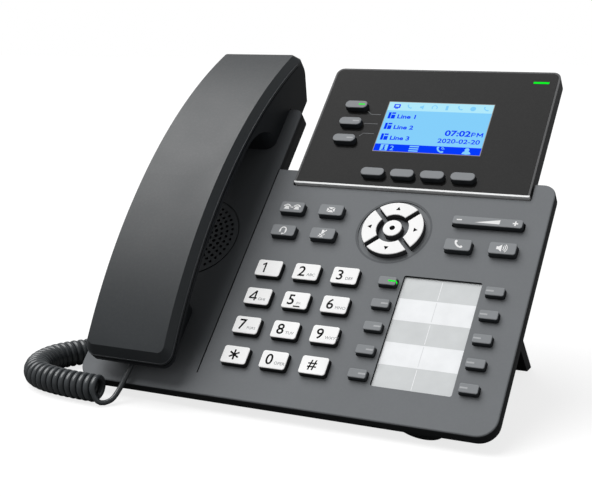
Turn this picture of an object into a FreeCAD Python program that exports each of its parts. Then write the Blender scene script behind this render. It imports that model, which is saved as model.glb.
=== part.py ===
import FreeCAD, Part
import math
import os
from FreeCAD import Vector

# Desk telephone with a sloping panel, in millimetres.
# Pieces are drawn in the panel's frame: X to the right from the panel's middle, Y up the slope
# from its front edge, Z out of its face. At the end they are tilted, stood on the table and centred.

# Stance on the table
PANEL_TILT = 44.3
FRONT_EDGE_HEIGHT = 8.0
FOOT_HEIGHT = 3.5
FOOT_RADIUS = 7.0
FOOT_SPREAD = 130.0
FOOT_SETBACK = 26.0

# Panel and cradle tower
PANEL_WIDTH = 208.0
PANEL_LENGTH = 133.4
PANEL_CORNER = 9.0
EAR_CORNER = 6.5
SMALL_CORNER = 0.6
PANEL_SKIN = 2.2
PANEL_EDGE_ROUND = 0.8
FRONT_SKIRT = 3.2
EDGE_DEPTH = 6.2
WALL = 2.2
FLOOR = 2.0
TOWER_WIDTH = 63.1
TOWER_RISE = 40.8
TOWER_DEPTH = 8.5
TOWER_CORNER = 4.0
SEAM_WIDTH = 0.7
SEAM_DEPTH = 0.8
SEAM_START = 10.9

# Display head
LEFT_EAR_WIDTH = 11.8
RIGHT_EAR_WIDTH = 11.4
EAR_LENGTH = 9.2
DISPLAY_LENGTH = 79.1
DISPLAY_TOP_CORNER = 4.2
DISPLAY_LOW_CORNER = 1.0
DISPLAY_FACE = 1.5
DISPLAY_DEPTH = 8.0
DISPLAY_SLOT = 0.5
DISPLAY_RIM = 1.0
DISPLAY_WALL = 2.2
LENS_THICKNESS = 1.5
LENS_FIT = 0.1
LCD_SHIFT = 3.85
LCD_RISE = 39.7
LCD_WIDTH = 60.0
LCD_LENGTH = 40.0
LCD_GAP = 0.2
DISPLAY_BOARD_MARGIN = 1.0
DISPLAY_BOARD_THICKNESS = 1.2
DISPLAY_DOME = 0.8
DISPLAY_DOME_RADIUS = 1.8

# Rear housing
TRAY_INSET = 5.5
TRAY_DEPTH = 11.5
TRAY_BACK_INSET = 13.4
BELLY_INSET = 18.0
BELLY_DEPTH = 35.0
BELLY_SLOPE = 28.5
LEDGE_REACH = 12.3
MICROPHONE_INSET = 32.5
MICROPHONE_BOSS_WIDTH = 17.0
MICROPHONE_BOSS_DROP = 4.3
MICROPHONE_BOSS_LENGTH = 7.0
MICROPHONE_HOLE_RADIUS = 0.8
MICROPHONE_HOLE_WIDTH = 4.4

# Case screws and their posts
POST_RADIUS = 2.8
POST_INSET = 12.5
POST_FRONT = 13.0
POST_BACK_INSET = 6.3
TOWER_POST_SETBACK = 8.0
SCREW_RADIUS = 1.4
SCREW_FIT = 0.05
SCREW_BITE = 3.0
SCREW_HEAD_RADIUS = 2.7
SCREW_HEAD = 1.6

# Keys in general
KEY_TRAVEL = 1.2
KEY_CLEARANCE = 0.3
KEY_STOP_GAP = 0.1
KEY_LIP = 0.6
KEY_LIP_THICKNESS = 1.0
KEY_ROUND = 0.45

# Dial keys
DIAL_SEAM_DISTANCE = 37.2
DIAL_FUNCTION_DISTANCE = 22.7
DIAL_FRONT_Y = 21.42
DIAL_PITCH_X = 20.0
DIAL_WIDTH = 13.2
DIAL_LENGTH = 9.2
DIAL_CORNER = 1.3
DIAL_HEIGHT = 2.8
DIAL_ROWS = [
    ["key_1", "key_2", "key_3"],
    ["key_4", "key_5", "key_6"],
    ["key_7", "key_8", "key_9"],
    ["key_star", "key_0", "key_hash"],
]

# Function keys
FUNCTION_WIDTH = 12.8
FUNCTION_LENGTH = 6.4
FUNCTION_CORNER = 1.2
FUNCTION_HEIGHT = 3.2
FUNCTION_PITCH_X = 21.15
FUNCTION_PITCH_Y = 14.3
FUNCTION_DISPLAY_DISTANCE = 16.7
SPEAKER_KEY_INSET = 17.0

# Volume rocker
VOLUME_INSET = 27.4
VOLUME_WIDTH = 33.4
VOLUME_LENGTH = 4.8
VOLUME_CORNER = 1.2
VOLUME_HEIGHT = 3.0
VOLUME_SIDE_CLEARANCE = 0.7
VOLUME_SKIRT = 1.2
ROCKER_AXIS_DROP = 3.2
ROCKER_WEB = 7.0
ROCKER_PIN_RADIUS = 0.7
ROCKER_PIN_FIT = 0.3
ROCKER_EAR = 1.6
ROCKER_EAR_GAP = 0.3
ROCKER_EAR_WIDTH = 3.2
ROCKER_LEG_X = 11.0
ROCKER_LEG_RADIUS = 1.2
ROCKER_TILT = 3.0

# Navigation keys
NAV_DISPLAY_DISTANCE = 24.3
NAV_OUTER = 15.3
NAV_INNER = 8.0
NAV_SPLIT = 2.4
NAV_HEIGHT = 2.6
OK_RADIUS = 4.7
OK_HEIGHT = 2.8
NAV_DISH_RADIUS = 17.8
NAV_DISH_DEPTH = 0.8
NAV_DISH_STEP = 0.45

# Speed-dial keys and their label recess
SPEED_DIAL_DISTANCE = 21.3
SPEED_INSET = 15.4
SPEED_FUNCTION_DISTANCE = 22.95
SPEED_FRONT_Y = 20.57
SPEED_ROWS = 5
SPEED_WIDTH = 8.7
SPEED_LENGTH = 4.6
SPEED_CORNER = 0.9
SPEED_HEIGHT = 2.6
LABEL_LEFT_GAP = 2.05
LABEL_RIGHT_GAP = 2.85
LABEL_FRONT_MARGIN = 3.87
LABEL_BACK_MARGIN = 5.25
LABEL_CORNER = 1.0
LABEL_RECESS = 1.2

# Display keys
LINE_KEY_LCD_DISTANCE = 15.1
LINE_KEY_RISE = 11.8
LINE_KEY_PITCH = 11.4
LINE_KEY_COUNT = 3
SOFT_KEY_PITCH = 15.53
SOFT_KEY_RISE = 7.9
SOFT_KEY_COUNT = 4
DISPLAY_KEY_WIDTH = 12.2
DISPLAY_KEY_LENGTH = 4.9
DISPLAY_KEY_CORNER = 2.3
DISPLAY_KEY_HEIGHT = 4.4

# Loudspeaker and its grille
GRILLE_SETBACK = 46.5
GRILLE_GROOVE_RADIUS = 23.64
GRILLE_GROOVE_WIDTH = 0.7
GRILLE_GROOVE_DEPTH = 0.7
GRILLE_RINGS = 7
GRILLE_RING_STEP = 2.87
GRILLE_HOLE_STEP = 3.16
GRILLE_INNER_HOLE = 1.1
GRILLE_OUTER_HOLE = 0.8
SPEAKER_RADIUS = 22.4
SPEAKER_RIM = 2.5
SPEAKER_CONE_RADIUS = 11.0
SPEAKER_CONE_DEPTH = 4.5
SPEAKER_MAGNET_RADIUS = 10.5
SPEAKER_MAGNET_DEPTH = 8.0

# Key mat and main board
MAT_THICKNESS = 1.0
MAT_DOME = 0.5
MAT_DOME_MARGIN = 1.0
MAT_KEY_ROOM = 0.2
MAT_MARGIN = 3.0
BOARD_THICKNESS = 1.6
BOARD_MARGIN = 1.0
SPEAKER_BOARD_GAP = 4.5
POST_ROOM = 0.6
BOARD_REST_RADIUS = 2.0
BOARD_REST_INSET = 13.5
BOARD_REST_FRONT = 30.0
BOARD_REST_BACK = 56.0

# Sockets on the board's ends
SOCKET_WALL = 1.4
SOCKET_BACK = 1.4
HANDSET_SOCKET_Y = 50.0
HEADSET_SOCKET_Y = 35.0
SMALL_SOCKET_WIDTH = 7.9
SMALL_SOCKET_HEIGHT = 6.6
SMALL_SOCKET_DEPTH = 12.0
LAN_SOCKET_Y = 52.0
PC_SOCKET_Y = 34.0
LAN_SOCKET_WIDTH = 11.9
LAN_SOCKET_HEIGHT = 8.0
LAN_SOCKET_DEPTH = 14.0
SOCKET_DROP = 17.5
SOCKET_MOUTH_ROOM = 0.3

# Hook switch
HOOK_SETBACK = 14.0
HOOK_WIDTH = 9.0
HOOK_LENGTH = 5.0
HOOK_CORNER = 1.5
HOOK_TRAVEL = 2.0
HOOK_CLEARANCE = 0.3

# Handset
HANDSET_REST_GAP = 0.3
HANDSET_WIDTH = 47.6
HANDSET_START = 6.6
HANDSET_OVERHANG = 12.6
HANDSET_MOUTH_CORNER = 6.0
HANDSET_EAR_CORNER = 4.0
CROWN_RADIUS = 270.0
CROWN_MIDDLE = 100.6
CROWN_TOP = 32.8
CROWN_CHAMFER_OUT = 3.0
CROWN_CHAMFER_DOWN = 4.2
TOP_SHELL_DEPTH = 6.0
HANDSET_SLAB = 8.4
HANDSET_WALL = 2.0
HANDSET_SIDE_WALL = 3.6
EAR_BLOCK_LENGTH = 29.2
EAR_BLOCK_CORNER = 5.5
EAR_CURVE_RUN = 18.5
EAR_CURVE_DROP = 8.6
EAR_CURVE_SETBACK = 6.5
EAR_CURVE_END_HEIGHT = 3.0
HOOK_LIP_GAP = 0.5
HOOK_LIP_DEPTH = 12.8
HOOK_LIP_LENGTH = 16.9
HOOK_LIP_CORNER = 2.5
HANDSET_END_FACE = 0.8
MOUTH_BLOCK_START = 13.0
MOUTH_BLOCK_END = 47.0
MOUTH_BLOCK_WIDTH = 33.0
MOUTH_BLOCK_CORNER = 6.0
RECEIVER_RADIUS = 5.5
RECEIVER_HEIGHT = 6.0
CAPSULE_RADIUS = 4.8
CAPSULE_HEIGHT = 5.0
CAPSULE_SETBACK = 20.0
SOUND_HOLE_RADIUS = 0.9
SOUND_HOLE_CIRCLE = 4.0
SOUND_HOLE_COUNT = 6

# Plugs at the two ends of the cord
PLUG_WIDTH = 7.5
PLUG_HEIGHT = 5.6
PLUG_LENGTH = 11.0
PLUG_PROUD = 1.8
PLUG_FIT = 0.15
HANDSET_PLUG_SHIFT = 1.05
HANDSET_PLUG_HEIGHT = 4.4

# Folding stand
STAND_WIDTH = 170.6
STAND_SETBACK = 20.5
STAND_THICKNESS = 5.8
STAND_AXIS_DROP = 3.5
STAND_WEB = 2.4
STAND_FLANGE = 6.0
STAND_PIN_RADIUS = 1.6
STAND_PIN_FIT = 0.3
STAND_EAR_SPREAD = 124.0
STAND_EAR_WIDTH = 6.0
STAND_EAR_RADIUS = 3.1
STAND_EAR_GAP = 0.5
STAND_SNAP_MOUTH = 2.6
STAND_STOP_WIDTH = 80.0
STAND_STOP_LENGTH = 3.0
STAND_STOP_HEIGHT = 11.0
STAND_STOP_GAP = 0.1

# Curly cord, laid on the table
WIRE = 2.5
COIL_RADIUS = 5.5
COIL_PITCH = 3.8
COIL_BEND = 30.0
COIL_FRONT_X = -84.0
COIL_FRONT_Y = -9.7
COIL_FRONT_RUN = 27.0
COIL_FRONT_TURN = 137.0
COIL_MIDDLE_RUN = 29.4
COIL_BACK_TURN = 47.0
COIL_BACK_RUN = 30.0
COIL_ARCS_PER_TURN = 4
COIL_FRONT_EXIT = 3.0
COIL_BACK_EXIT = 12.0
TABLE_GAP = 0.05
CORNER_SHARE = 0.45
GAP_STEPS = 48

# Routes of the plain leads, in table coordinates: across, back from the panel's front edge, up
FRONT_END_X = -80.2
FRONT_END_Y = -14.6
FRONT_END_HEADING = 45.6
HANDSET_LEAD_RUN = 5.0
BASE_LEAD_RUN = 7.5
HANDSET_LEAD_ROUTE = [
    (-76.0, -6.9, 4.6),
    (-75.0, -3.0, 9.0),
]
BASE_LEAD_ROUTE = [
    (-105.0, 98.0, 32.0),
    (-103.5, 82.0, 36.0),
    (-102.4, 67.0, 34.6),
    (-101.5, 54.5, 31.4),
]

# Worked-out places
TILT = math.radians(PANEL_TILT)
TOWER_LEFT = -PANEL_WIDTH / 2
TOWER_RIGHT = TOWER_LEFT + TOWER_WIDTH
TOWER_END = PANEL_LENGTH + TOWER_RISE
PANEL_RIGHT = PANEL_WIDTH / 2
CRADLE_X = (TOWER_LEFT + TOWER_RIGHT) / 2
DISPLAY_LEFT = TOWER_RIGHT + LEFT_EAR_WIDTH
DISPLAY_RIGHT = PANEL_RIGHT - RIGHT_EAR_WIDTH
DISPLAY_START = PANEL_LENGTH - EAR_LENGTH
DISPLAY_END = DISPLAY_START + DISPLAY_LENGTH
DISPLAY_BACK = DISPLAY_FACE - DISPLAY_DEPTH
LENS_UNDERSIDE = DISPLAY_FACE - LENS_THICKNESS
LENS_PLAY = DISPLAY_RIM + LENS_FIT
LCD_MIDDLE_X = (DISPLAY_LEFT + DISPLAY_RIGHT) / 2 + LCD_SHIFT
LCD_MIDDLE_Y = DISPLAY_START + LCD_RISE
LINE_KEY_X = LCD_MIDDLE_X - LCD_WIDTH / 2 - LINE_KEY_LCD_DISTANCE
LINE_KEY_TOP_Y = LCD_MIDDLE_Y + LINE_KEY_RISE
SOFT_KEY_FIRST_X = LCD_MIDDLE_X - SOFT_KEY_PITCH * (SOFT_KEY_COUNT - 1) / 2
SOFT_KEY_Y = DISPLAY_START + SOFT_KEY_RISE
FUNCTION_TOP_Y = DISPLAY_START - FUNCTION_DISPLAY_DISTANCE
FUNCTION_LOW_Y = FUNCTION_TOP_Y - FUNCTION_PITCH_Y
DIAL_MIDDLE_X = TOWER_RIGHT + DIAL_SEAM_DISTANCE
DIAL_TOP_Y = FUNCTION_LOW_Y - DIAL_FUNCTION_DISTANCE
DIAL_PITCH_Y = (DIAL_TOP_Y - DIAL_FRONT_Y) / (len(DIAL_ROWS) - 1)
FUNCTION_LEFT_X = DIAL_MIDDLE_X - DIAL_PITCH_X
FUNCTION_RIGHT_X = FUNCTION_LEFT_X + FUNCTION_PITCH_X
SPEAKER_KEY_X = PANEL_RIGHT - SPEAKER_KEY_INSET
SEND_X = SPEAKER_KEY_X - FUNCTION_PITCH_X
VOLUME_X = PANEL_RIGHT - VOLUME_INSET
VOLUME_Y = FUNCTION_TOP_Y
NAV_X = (FUNCTION_RIGHT_X + SEND_X) / 2
NAV_Y = DISPLAY_START - NAV_DISPLAY_DISTANCE
SPEED_LEFT_X = DIAL_MIDDLE_X + DIAL_PITCH_X + SPEED_DIAL_DISTANCE
SPEED_RIGHT_X = PANEL_RIGHT - SPEED_INSET
SPEED_TOP_Y = FUNCTION_LOW_Y - SPEED_FUNCTION_DISTANCE
SPEED_PITCH = (SPEED_TOP_Y - SPEED_FRONT_Y) / (SPEED_ROWS - 1)
LABEL_LEFT = SPEED_LEFT_X + SPEED_WIDTH / 2 + LABEL_LEFT_GAP
LABEL_RIGHT = SPEED_RIGHT_X - SPEED_WIDTH / 2 - LABEL_RIGHT_GAP
LABEL_FRONT = SPEED_FRONT_Y - LABEL_FRONT_MARGIN
LABEL_BACK = SPEED_TOP_Y + LABEL_BACK_MARGIN
BELLY_RIGHT = PANEL_RIGHT - BELLY_INSET
LEDGE_END = DISPLAY_START + LEDGE_REACH
BELLY_BACK_END = LEDGE_END - BELLY_SLOPE
TRAY_END = PANEL_LENGTH - TRAY_BACK_INSET
MICROPHONE_X = PANEL_RIGHT - MICROPHONE_INSET
GRILLE_Y = PANEL_LENGTH - GRILLE_SETBACK
BOARD_STEP_Y = GRILLE_Y - SPEAKER_RADIUS - SPEAKER_BOARD_GAP
STAND_Y = BELLY_BACK_END - STAND_SETBACK
KEY_LIP_BOTTOM = -PANEL_SKIN - KEY_STOP_GAP - KEY_LIP_THICKNESS
MAT_TOP = KEY_LIP_BOTTOM - KEY_TRAVEL - MAT_KEY_ROOM - MAT_DOME
BOARD_TOP = MAT_TOP - MAT_THICKNESS
BOARD_BOTTOM = BOARD_TOP - BOARD_THICKNESS
HOOK_Y = TOWER_END - HOOK_SETBACK
HOOK_LIP_START = TOWER_END + HOOK_LIP_GAP
HOOK_LIP_END = HOOK_LIP_START + HOOK_LIP_LENGTH
HANDSET_END = HOOK_LIP_END + HANDSET_OVERHANG
EAR_BLOCK_START = HOOK_LIP_START - EAR_BLOCK_LENGTH
EAR_CURVE_START = EAR_BLOCK_START - EAR_CURVE_RUN
EAR_CURVE_END = EAR_BLOCK_START + EAR_CURVE_SETBACK
HANDSET_PLUG_X = CRADLE_X - HANDSET_PLUG_SHIFT
STAND_AXIS_Z = -BELLY_DEPTH - STAND_AXIS_DROP
COIL_HEIGHT = COIL_RADIUS + WIRE / 2 + TABLE_GAP


def flat_outline(corners, height):
    """Closed flat outline through corners (x, y, radius), each corner rounded by a tangent arc."""
    edges = []
    ends = []
    count = len(corners)
    for i in range(count):
        x, y, radius = corners[i]
        corner = Vector(x, y, height)
        before = Vector(corners[i - 1][0], corners[i - 1][1], height)
        after = Vector(corners[(i + 1) % count][0], corners[(i + 1) % count][1], height)
        to_before = (before - corner).normalize()
        to_after = (after - corner).normalize()
        half = to_before.getAngle(to_after) / 2
        reach = radius / math.tan(half)
        start = corner + to_before * reach
        end = corner + to_after * reach
        ends.append((start, end))
        if radius > 0:
            inward = (to_before + to_after).normalize()
            middle = corner + inward * (radius / math.sin(half) - radius)
            edges.append(Part.Arc(start, middle, end).toShape())
    for i in range(count):
        start = ends[i][1]
        end = ends[(i + 1) % count][0]
        if start.distanceToPoint(end) > 1e-6:
            edges.append(Part.LineSegment(start, end).toShape())
    return Part.Wire(Part.__sortEdges__(edges))


def slab(corners, low, high):
    """Flat slab with the given outline between two heights."""
    return Part.Face(flat_outline(corners, low)).extrude(Vector(0, 0, high - low))


def turn_on_side(shape):
    """Turn a shape drawn as (along, up, across) so that it stands as (X across, Y along, Z up)."""
    turned = shape.copy()
    turned.rotate(Vector(0, 0, 0), Vector(1, 1, 1), 120)
    return turned


def side_slab(corners, left, right):
    """Slab across the phone whose outline is given along Y and up Z."""
    return turn_on_side(slab(corners, left, right))


def rectangle(x, y, width, length, radius, grow=0.0):
    """Corners of a rounded rectangle about (x, y), grown on every side."""
    half_width = width / 2 + grow
    half_length = length / 2 + grow
    rounding = max(radius + grow, 0)
    return [
        (x - half_width, y - half_length, rounding),
        (x + half_width, y - half_length, rounding),
        (x + half_width, y + half_length, rounding),
        (x - half_width, y + half_length, rounding),
    ]


def between(left, right, front, back, front_corner, back_corner):
    """Corners of a rectangle between its sides, with its own rounding at the front and at the back."""
    return [
        (left, front, front_corner),
        (right, front, front_corner),
        (right, back, back_corner),
        (left, back, back_corner),
    ]


def block(x_low, x_high, y_low, y_high, z_low, z_high):
    """Plain box between two corners."""
    return Part.makeBox(x_high - x_low, y_high - y_low, z_high - z_low, Vector(x_low, y_low, z_low))


def post(x, y, radius, low, high):
    """Upright cylinder between two heights."""
    return Part.makeCylinder(radius, high - low, Vector(x, y, low))


def bar(start, end, radius):
    """Cylinder between two points."""
    along = end - start
    return Part.makeCylinder(radius, along.Length, start, along)


def edges_at_height(shape, height):
    """Edges of a shape that lie flat at one height."""
    found = []
    for edge in shape.Edges:
        box = edge.BoundBox
        if abs(box.ZMin - height) < 1e-6 and abs(box.ZMax - height) < 1e-6:
            found.append(edge)
    return found


def table_point(x, y, z):
    """Place of a panel point in table coordinates."""
    back = y * math.cos(TILT) - z * math.sin(TILT)
    up = y * math.sin(TILT) + z * math.cos(TILT) + FRONT_EDGE_HEIGHT
    return Vector(x, back, up)


def on_table(shape):
    """Tilt a shape from the panel's frame onto the table."""
    placed = shape.copy()
    placed.rotate(Vector(0, 0, 0), Vector(1, 0, 0), PANEL_TILT)
    placed.translate(Vector(0, 0, FRONT_EDGE_HEIGHT))
    return placed


# Outlines of the panel with its ears and tower

def panel_corners(inset):
    """Outline of the panel, its two ears and the cradle tower, set in by a wall."""
    left = TOWER_LEFT + inset
    right = PANEL_RIGHT - inset
    ear_top = PANEL_LENGTH - inset
    slot_left = DISPLAY_LEFT - DISPLAY_SLOT - inset
    slot_right = DISPLAY_RIGHT + DISPLAY_SLOT + inset
    slot_floor = DISPLAY_START - DISPLAY_SLOT - inset
    tower_right = TOWER_RIGHT - inset
    tower_top = TOWER_END - inset
    return [
        (left, inset, PANEL_CORNER - inset),
        (right, inset, PANEL_CORNER - inset),
        (right, ear_top, EAR_CORNER - inset),
        (slot_right, ear_top, SMALL_CORNER),
        (slot_right, slot_floor, SMALL_CORNER),
        (slot_left, slot_floor, SMALL_CORNER),
        (slot_left, ear_top, SMALL_CORNER),
        (tower_right, ear_top, SMALL_CORNER),
        (tower_right, tower_top, TOWER_CORNER - inset),
        (left, tower_top, TOWER_CORNER - inset),
    ]


def tower_corners(inset):
    """Outline of the cradle tower above the panel, set in by a wall."""
    return [
        (TOWER_LEFT + inset, PANEL_LENGTH - TOWER_DEPTH, 0),
        (TOWER_RIGHT - inset, PANEL_LENGTH - TOWER_DEPTH, 0),
        (TOWER_RIGHT - inset, TOWER_END - inset, TOWER_CORNER - inset),
        (TOWER_LEFT + inset, TOWER_END - inset, TOWER_CORNER - inset),
    ]


def tray_corners(inset):
    """Outline of the deeper tray behind the keys, set in by a wall."""
    half_width = PANEL_RIGHT - TRAY_INSET - inset
    corner = PANEL_CORNER - inset
    return [
        (-half_width, TRAY_INSET + inset, corner),
        (half_width, TRAY_INSET + inset, corner),
        (half_width, TRAY_END - inset, corner),
        (-half_width, TRAY_END - inset, corner),
    ]


def belly_front_height(y):
    """Height of the belly's underside, which runs level above the table."""
    level = FOOT_HEIGHT - FRONT_EDGE_HEIGHT
    return (level - y * math.sin(TILT)) / math.cos(TILT)


def belly_front_reach(z):
    """Distance up the slope at which the level underside has a given depth."""
    level = FOOT_HEIGHT - FRONT_EDGE_HEIGHT
    return (level - z * math.cos(TILT)) / math.sin(TILT)


def belly_corners():
    """Side outline of the belly: level underside, back parallel to the panel, sloping top."""
    ledge_low = DISPLAY_BACK - FLOOR
    return [
        (TRAY_INSET, DISPLAY_BACK, 0),
        (TRAY_INSET, belly_front_height(TRAY_INSET), 0),
        (belly_front_reach(-BELLY_DEPTH), -BELLY_DEPTH, 0),
        (BELLY_BACK_END, -BELLY_DEPTH, 0),
        (LEDGE_END, ledge_low, 0),
        (LEDGE_END, DISPLAY_BACK, 0),
    ]


def belly_hollow():
    """Inside of the belly, one wall thick all round."""
    outer = Part.Face(flat_outline(belly_corners(), -BELLY_RIGHT + WALL))
    inner = outer.makeOffset2D(-WALL)
    return turn_on_side(inner.extrude(Vector(0, 0, 2 * (BELLY_RIGHT - WALL))))


# Keys

def key_places():
    """Every straight-sided panel key: name, x, y, width, length, corner and height."""
    keys = []
    for row, names in enumerate(DIAL_ROWS):
        for column, name in enumerate(names):
            x = DIAL_MIDDLE_X + (column - 1) * DIAL_PITCH_X
            y = DIAL_TOP_Y - row * DIAL_PITCH_Y
            keys.append((name, x, y, DIAL_WIDTH, DIAL_LENGTH, DIAL_CORNER, DIAL_HEIGHT))
    function_places = [
        ("transfer_key", FUNCTION_LEFT_X, FUNCTION_TOP_Y),
        ("message_key", FUNCTION_RIGHT_X, FUNCTION_TOP_Y),
        ("headset_key", FUNCTION_LEFT_X, FUNCTION_LOW_Y),
        ("mute_key", FUNCTION_RIGHT_X, FUNCTION_LOW_Y),
        ("send_key", SEND_X, FUNCTION_LOW_Y),
        ("speaker_key", SPEAKER_KEY_X, FUNCTION_LOW_Y),
    ]
    for name, x, y in function_places:
        keys.append((name, x, y, FUNCTION_WIDTH, FUNCTION_LENGTH, FUNCTION_CORNER, FUNCTION_HEIGHT))
    for side, x in enumerate((SPEED_LEFT_X, SPEED_RIGHT_X)):
        for row in range(SPEED_ROWS):
            name = "speed_dial_key_%d" % (side * SPEED_ROWS + row + 1)
            y = SPEED_TOP_Y - row * SPEED_PITCH
            keys.append((name, x, y, SPEED_WIDTH, SPEED_LENGTH, SPEED_CORNER, SPEED_HEIGHT))
    return keys


def display_key_places():
    """Keys in the display head: name, x and y."""
    keys = []
    for row in range(LINE_KEY_COUNT):
        keys.append(("line_key_%d" % (row + 1), LINE_KEY_X, LINE_KEY_TOP_Y - row * LINE_KEY_PITCH))
    for column in range(SOFT_KEY_COUNT):
        x = SOFT_KEY_FIRST_X + column * SOFT_KEY_PITCH
        keys.append(("soft_key_%d" % (column + 1), x, SOFT_KEY_Y))
    return keys


def key_solid(x, y, width, length, corner, top, skin_under):
    """Keycap with a lip that catches under the skin that it comes through."""
    lip_top = skin_under - KEY_STOP_GAP
    lip_bottom = lip_top - KEY_LIP_THICKNESS
    cap = slab(rectangle(x, y, width, length, corner), lip_bottom, top)
    cap = cap.makeFillet(KEY_ROUND, edges_at_height(cap, top))
    lip = slab(rectangle(x, y, width, length, corner, KEY_LIP), lip_bottom, lip_top)
    return cap.fuse(lip).removeSplitter()


def key_hole(x, y, width, length, corner, low, high):
    """Opening in a skin that a keycap slides through."""
    return slab(rectangle(x, y, width, length, corner, KEY_CLEARANCE), low, high)


def nav_sector(quarter, grow, low, high):
    """One of the four arched navigation keys, pointing up for quarter 0 and on anticlockwise."""
    outer = post(0, 0, NAV_OUTER + grow, low, high)
    ring = outer.cut(post(0, 0, NAV_INNER - grow, low, high))
    apex = NAV_SPLIT / math.sqrt(2) - grow * math.sqrt(2)
    reach = 2 * NAV_OUTER
    wedge = slab([(0, apex, 0), (reach, apex + reach, 0), (-reach, apex + reach, 0)], low, high)
    sector = ring.common(wedge)
    sector.rotate(Vector(0, 0, 0), Vector(0, 0, 1), 90 * quarter)
    sector.translate(Vector(NAV_X, NAV_Y, 0))
    return sector


def nav_key(quarter):
    """Arched navigation key with its lip."""
    lip_top = -PANEL_SKIN - KEY_STOP_GAP
    cap = nav_sector(quarter, 0, KEY_LIP_BOTTOM, NAV_HEIGHT)
    cap = cap.makeFillet(KEY_ROUND, edges_at_height(cap, NAV_HEIGHT))
    lip = nav_sector(quarter, KEY_LIP, KEY_LIP_BOTTOM, lip_top)
    return cap.fuse(lip).removeSplitter()


def ok_key():
    """Round key in the middle of the navigation ring."""
    lip_top = -PANEL_SKIN - KEY_STOP_GAP
    cap = post(NAV_X, NAV_Y, OK_RADIUS, KEY_LIP_BOTTOM, OK_HEIGHT)
    cap = cap.makeFillet(KEY_ROUND, edges_at_height(cap, OK_HEIGHT))
    lip = post(NAV_X, NAV_Y, OK_RADIUS + KEY_LIP, KEY_LIP_BOTTOM, lip_top)
    return cap.fuse(lip).removeSplitter()


def rocker_axis_height():
    """Height of the volume rocker's pivot, under the panel's skin."""
    return -ROCKER_AXIS_DROP


def rocker_pin_reach():
    """Half the length of the rocker's pivot pin."""
    return VOLUME_LENGTH / 2 + ROCKER_EAR_GAP + ROCKER_EAR


def volume_rocker():
    """Long rocker key on a cross pin under its middle."""
    outline = rectangle(VOLUME_X, VOLUME_Y, VOLUME_WIDTH, VOLUME_LENGTH, VOLUME_CORNER)
    cap = slab(outline, -VOLUME_SKIRT, VOLUME_HEIGHT)
    cap = cap.makeFillet(KEY_ROUND, edges_at_height(cap, VOLUME_HEIGHT))
    axis_z = rocker_axis_height()
    web = block(
        VOLUME_X - ROCKER_WEB / 2, VOLUME_X + ROCKER_WEB / 2,
        VOLUME_Y - VOLUME_LENGTH / 2, VOLUME_Y + VOLUME_LENGTH / 2,
        axis_z, -VOLUME_SKIRT)
    reach = rocker_pin_reach()
    pin_front = Vector(VOLUME_X, VOLUME_Y - reach, axis_z)
    pin_back = Vector(VOLUME_X, VOLUME_Y + reach, axis_z)
    pin = bar(pin_front, pin_back, ROCKER_PIN_RADIUS)
    leg_end = MAT_TOP + MAT_DOME + MAT_KEY_ROOM + ROCKER_LEG_X * math.sin(math.radians(ROCKER_TILT))
    legs = []
    for side in (-1, 1):
        x = VOLUME_X + side * ROCKER_LEG_X
        legs.append(post(x, VOLUME_Y, ROCKER_LEG_RADIUS, leg_end, -VOLUME_SKIRT))
    return cap.fuse([web, pin] + legs).removeSplitter()


def rocker_ears():
    """Two ears under the panel that hold the rocker's pin."""
    axis_z = rocker_axis_height()
    bore = ROCKER_PIN_RADIUS + ROCKER_PIN_FIT
    ears = []
    for side in (-1, 1):
        near = VOLUME_Y + side * (VOLUME_LENGTH / 2 + ROCKER_EAR_GAP)
        far = VOLUME_Y + side * rocker_pin_reach()
        ear = block(
            VOLUME_X - ROCKER_EAR_WIDTH / 2, VOLUME_X + ROCKER_EAR_WIDTH / 2,
            min(near, far), max(near, far), axis_z - ROCKER_EAR_WIDTH / 2, -PANEL_SKIN)
        hole = bar(Vector(VOLUME_X, near, axis_z), Vector(VOLUME_X, far, axis_z), bore)
        ears.append(ear.cut(hole))
    return ears


# Case screws

def screw_places():
    """Each case screw: x, y and the depth of the floor that its head bears on."""
    side = PANEL_RIGHT - POST_INSET
    back = TRAY_END - POST_BACK_INSET
    tower_y = TOWER_END - TOWER_POST_SETBACK
    return [
        (-side, POST_FRONT, TRAY_DEPTH),
        (side, POST_FRONT, TRAY_DEPTH),
        (-side, back, TRAY_DEPTH),
        (side, back, TRAY_DEPTH),
        (TOWER_LEFT + TOWER_POST_SETBACK, tower_y, TOWER_DEPTH),
        (TOWER_RIGHT - TOWER_POST_SETBACK, tower_y, TOWER_DEPTH),
    ]


def screws():
    """Six case screws, each a flat head on a plain shank."""
    solids = []
    for x, y, depth in screw_places():
        head = post(x, y, SCREW_HEAD_RADIUS, -depth - SCREW_HEAD, -depth)
        shank = post(x, y, SCREW_RADIUS, -depth - SCREW_HEAD / 2, -depth + FLOOR + SCREW_BITE)
        solids.append(head.fuse(shank).removeSplitter())
    return Part.makeCompound(solids)


# Housings

def grille_holes():
    """Rings of sound holes, smaller towards the outside, each turned half a hole from the next."""
    holes = []
    for ring in range(GRILLE_RINGS + 1):
        share = ring / GRILLE_RINGS
        radius = GRILLE_INNER_HOLE + (GRILLE_OUTER_HOLE - GRILLE_INNER_HOLE) * share
        circle = ring * GRILLE_RING_STEP
        count = max(1, round(2 * math.pi * circle / GRILLE_HOLE_STEP))
        half_turned = (GRILLE_RINGS - ring) % 2 / 2
        for i in range(count):
            angle = 2 * math.pi * (i + half_turned) / count
            x = CRADLE_X + circle * math.cos(angle)
            y = GRILLE_Y + circle * math.sin(angle)
            holes.append(post(x, y, radius, -PANEL_SKIN, 0))
    return holes


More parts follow.
